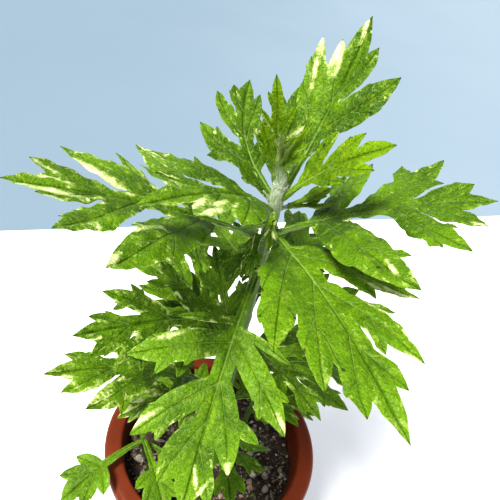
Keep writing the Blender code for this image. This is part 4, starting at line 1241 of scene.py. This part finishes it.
def make_hairs(look):
    """Fine pale hairs that lie along the stem's top and stand off it a little."""
    dice = random.Random(HAIR_SEED)
    points, faces = [], []

    def hair(root, ahead, out, long):
        tip = root + (ahead * dice.uniform(0.35, 1.0) + out * dice.uniform(0.25, 0.8)).normalized() * long
        side = ahead.cross(out).normalized() * HAIR_WIDTH
        start = len(points)
        points.extend([root + side, root - side, root + out * HAIR_WIDTH, tip])
        faces.extend([tuple(start + corner for corner in face) for face in HAIR_FACES])

    for _ in range(STEM_HAIRS):
        height = STEM_TOP - HAIRY_LENGTH * dice.random() ** 2.4
        out = Vector((*circle(dice.uniform(0, math.tau)), 0))
        hair(stem_centre(height) + out * stem_radius(height), Vector((0, 0, 1)), out, dice.uniform(0.6, 1.4))
    along = pointing(math.radians(CROWN.heading), math.radians(CROWN.rise))
    side = along.cross(Vector((0, 1, 0))).normalized()
    across = along.cross(side)
    first, last = CROWN.radii
    for _ in range(CROWN_HAIRS):
        share = dice.random()
        x, y = circle(dice.uniform(0, math.tau))
        out = side * x + across * y
        root = CROWN.foot + along * CROWN.reach * share + out * (first + (last - first) * share)
        hair(root, along, out, dice.uniform(0.6, 1.5))
    placed("Stem_Hairs", mesh_of("Stem_Hairs", points, faces, look), "stem", sharp=180)


def make_plant():
    leaf = leaf_look("Mugwort_Leaf", 0.20, *GROWN_GREENS)
    young = leaf_look("Young_Leaf", 0.22, *YOUNG_GREENS)
    stem = stem_look()
    make_pot(plastic_look())
    make_soil(soil_look())
    make_grit(grit_look())
    make_stem(stem)
    for number, item in enumerate(LEAVES, LEAF_SEED):
        foot = beside_stem(item.height, item.heading)
        part = leaf_part(item, foot, LEAF_PITCH, CREAM.get(item.name, USUAL_CREAM), number)
        look, slot = (young, "young_leaf") if item.name == "Leaf_24" else (leaf, "leaf")
        build(item.name.replace("Leaf", "Blade"), [part], [look], slot, item.name)
    for number, shoot in enumerate((*SUCKERS, CROWN, *SPROUTS), SHOOT_SEED):
        look = leaf if shoot in SUCKERS or shoot.name in DARK_SPROUTS else young
        slot = "leaf" if shoot in SUCKERS else "young_leaf"
        build(shoot.name + "_Leaves", shoot_parts(shoot, number), [look, stem], slot, shoot.name)
    make_hairs(hair_look())


# The stage, in metres.

def make_stage():
    """A white table top, and behind its far edge a pale blue ground a little lower, with painted light that
    lightens it towards +X.
    """
    table = Graph("Pale_Table", (0.90, 0.90, 0.91), Roughness=0.55)
    table.paint(table.noise(table.place(), 3.0, 2.0).span(0.3, 0.7), (0.93, 0.93, 0.94))
    ground = Graph("Pale_Blue_Ground", (0.150, 0.206, 0.258), Roughness=0.9)
    place = ground.place()
    # Painted light: the ground grows lighter towards +X, with random tone over it.
    across = ground.split(place)[0].span(-0.5, 0.6, 0.0, 0.75)
    tone = ground.noise(place, 2.2, 3.0) * 0.5 + across
    ground.paint(tone.span(0.1, 1.15), (0.214, 0.273, 0.325))
    for name, look, reach, edge, top, turn in (
        ("Stage_Table", table.finish(), 3.0, TABLE_EDGE, 0.0, TABLE_TURN),
        ("Stage_Ground", ground.finish(), 12.0, 12.0, -0.012, 0.0),
    ):
        corners = ((-reach, -reach), (reach, -reach), (reach, edge), (-reach, edge))
        mesh = bpy.data.meshes.new(name)
        points = [(x, y, height) for height in (top, top - 0.01) for x, y in corners]
        faces = [(0, 1, 2, 3), (7, 6, 5, 4), (0, 4, 5, 1), (1, 5, 6, 2), (2, 6, 7, 3), (3, 7, 4, 0)]
        mesh.from_pydata(points, [], faces)
        mesh.materials.append(look)
        made = linked(name, mesh)
        made.rotation_euler.z = math.radians(turn)


def lamp(name, kind, place, aim, power, colour, **settings):
    """A light at this place that points to its aim."""
    data = bpy.data.lights.new(name, kind)
    data.energy = power
    data.color = colour
    for key, value in settings.items():
        setattr(data, key, value)
    made = linked(name, data)
    made.location = place
    made.rotation_euler = (Vector(aim) - Vector(place)).to_track_quat("-Z", "Y").to_euler()


def make_light():
    """A pale sky all round, a large high window light from the left, and a soft fill."""
    world = bpy.data.worlds.new("Studio")
    bpy.context.scene.world = world
    world.use_nodes = True
    sky = world.node_tree.nodes["Background"].inputs
    sky["Color"].default_value = (0.88, 0.93, 1.0, 1)
    sky["Strength"].default_value = 0.70
    lamp("Key", "SUN", (-0.42, -0.42, 1.0), (0, 0, 0), 6.0, (1.0, 0.98, 0.93), angle=math.radians(16))
    lamp("Fill", "AREA", (0.5, -0.9, 0.9), (0, 0, 0.17), 3, (0.95, 0.98, 1.0), shape="DISK", size=0.9)
    bpy.context.scene.view_settings.view_transform = "Standard"
    bpy.context.scene.view_settings.look = "Medium High Contrast"


def make_camera():
    """The photograph's view: looking down on the plant from the front, rolled a little."""
    pitch, roll = math.radians(CAMERA_PITCH), math.radians(CAMERA_ROLL)
    ahead = Vector((0, math.cos(pitch), -math.sin(pitch)))
    level = Vector((1, 0, 0))
    right, up = rolled(level, level.cross(ahead), roll)
    data = bpy.data.cameras.new("Camera")
    data.sensor_width = SENSOR_WIDTH
    data.lens = SENSOR_WIDTH * FOCAL_PIXELS / PICTURE_PIXELS
    data.clip_start = 0.005
    camera = linked("Camera", data)
    turned_to = Matrix((right, up, -ahead)).transposed().to_4x4()
    camera.matrix_world = Matrix.Translation(CAMERA_PLACE) @ turned_to
    bpy.context.scene.camera = camera


make_plant()
make_stage()
make_light()
make_camera()
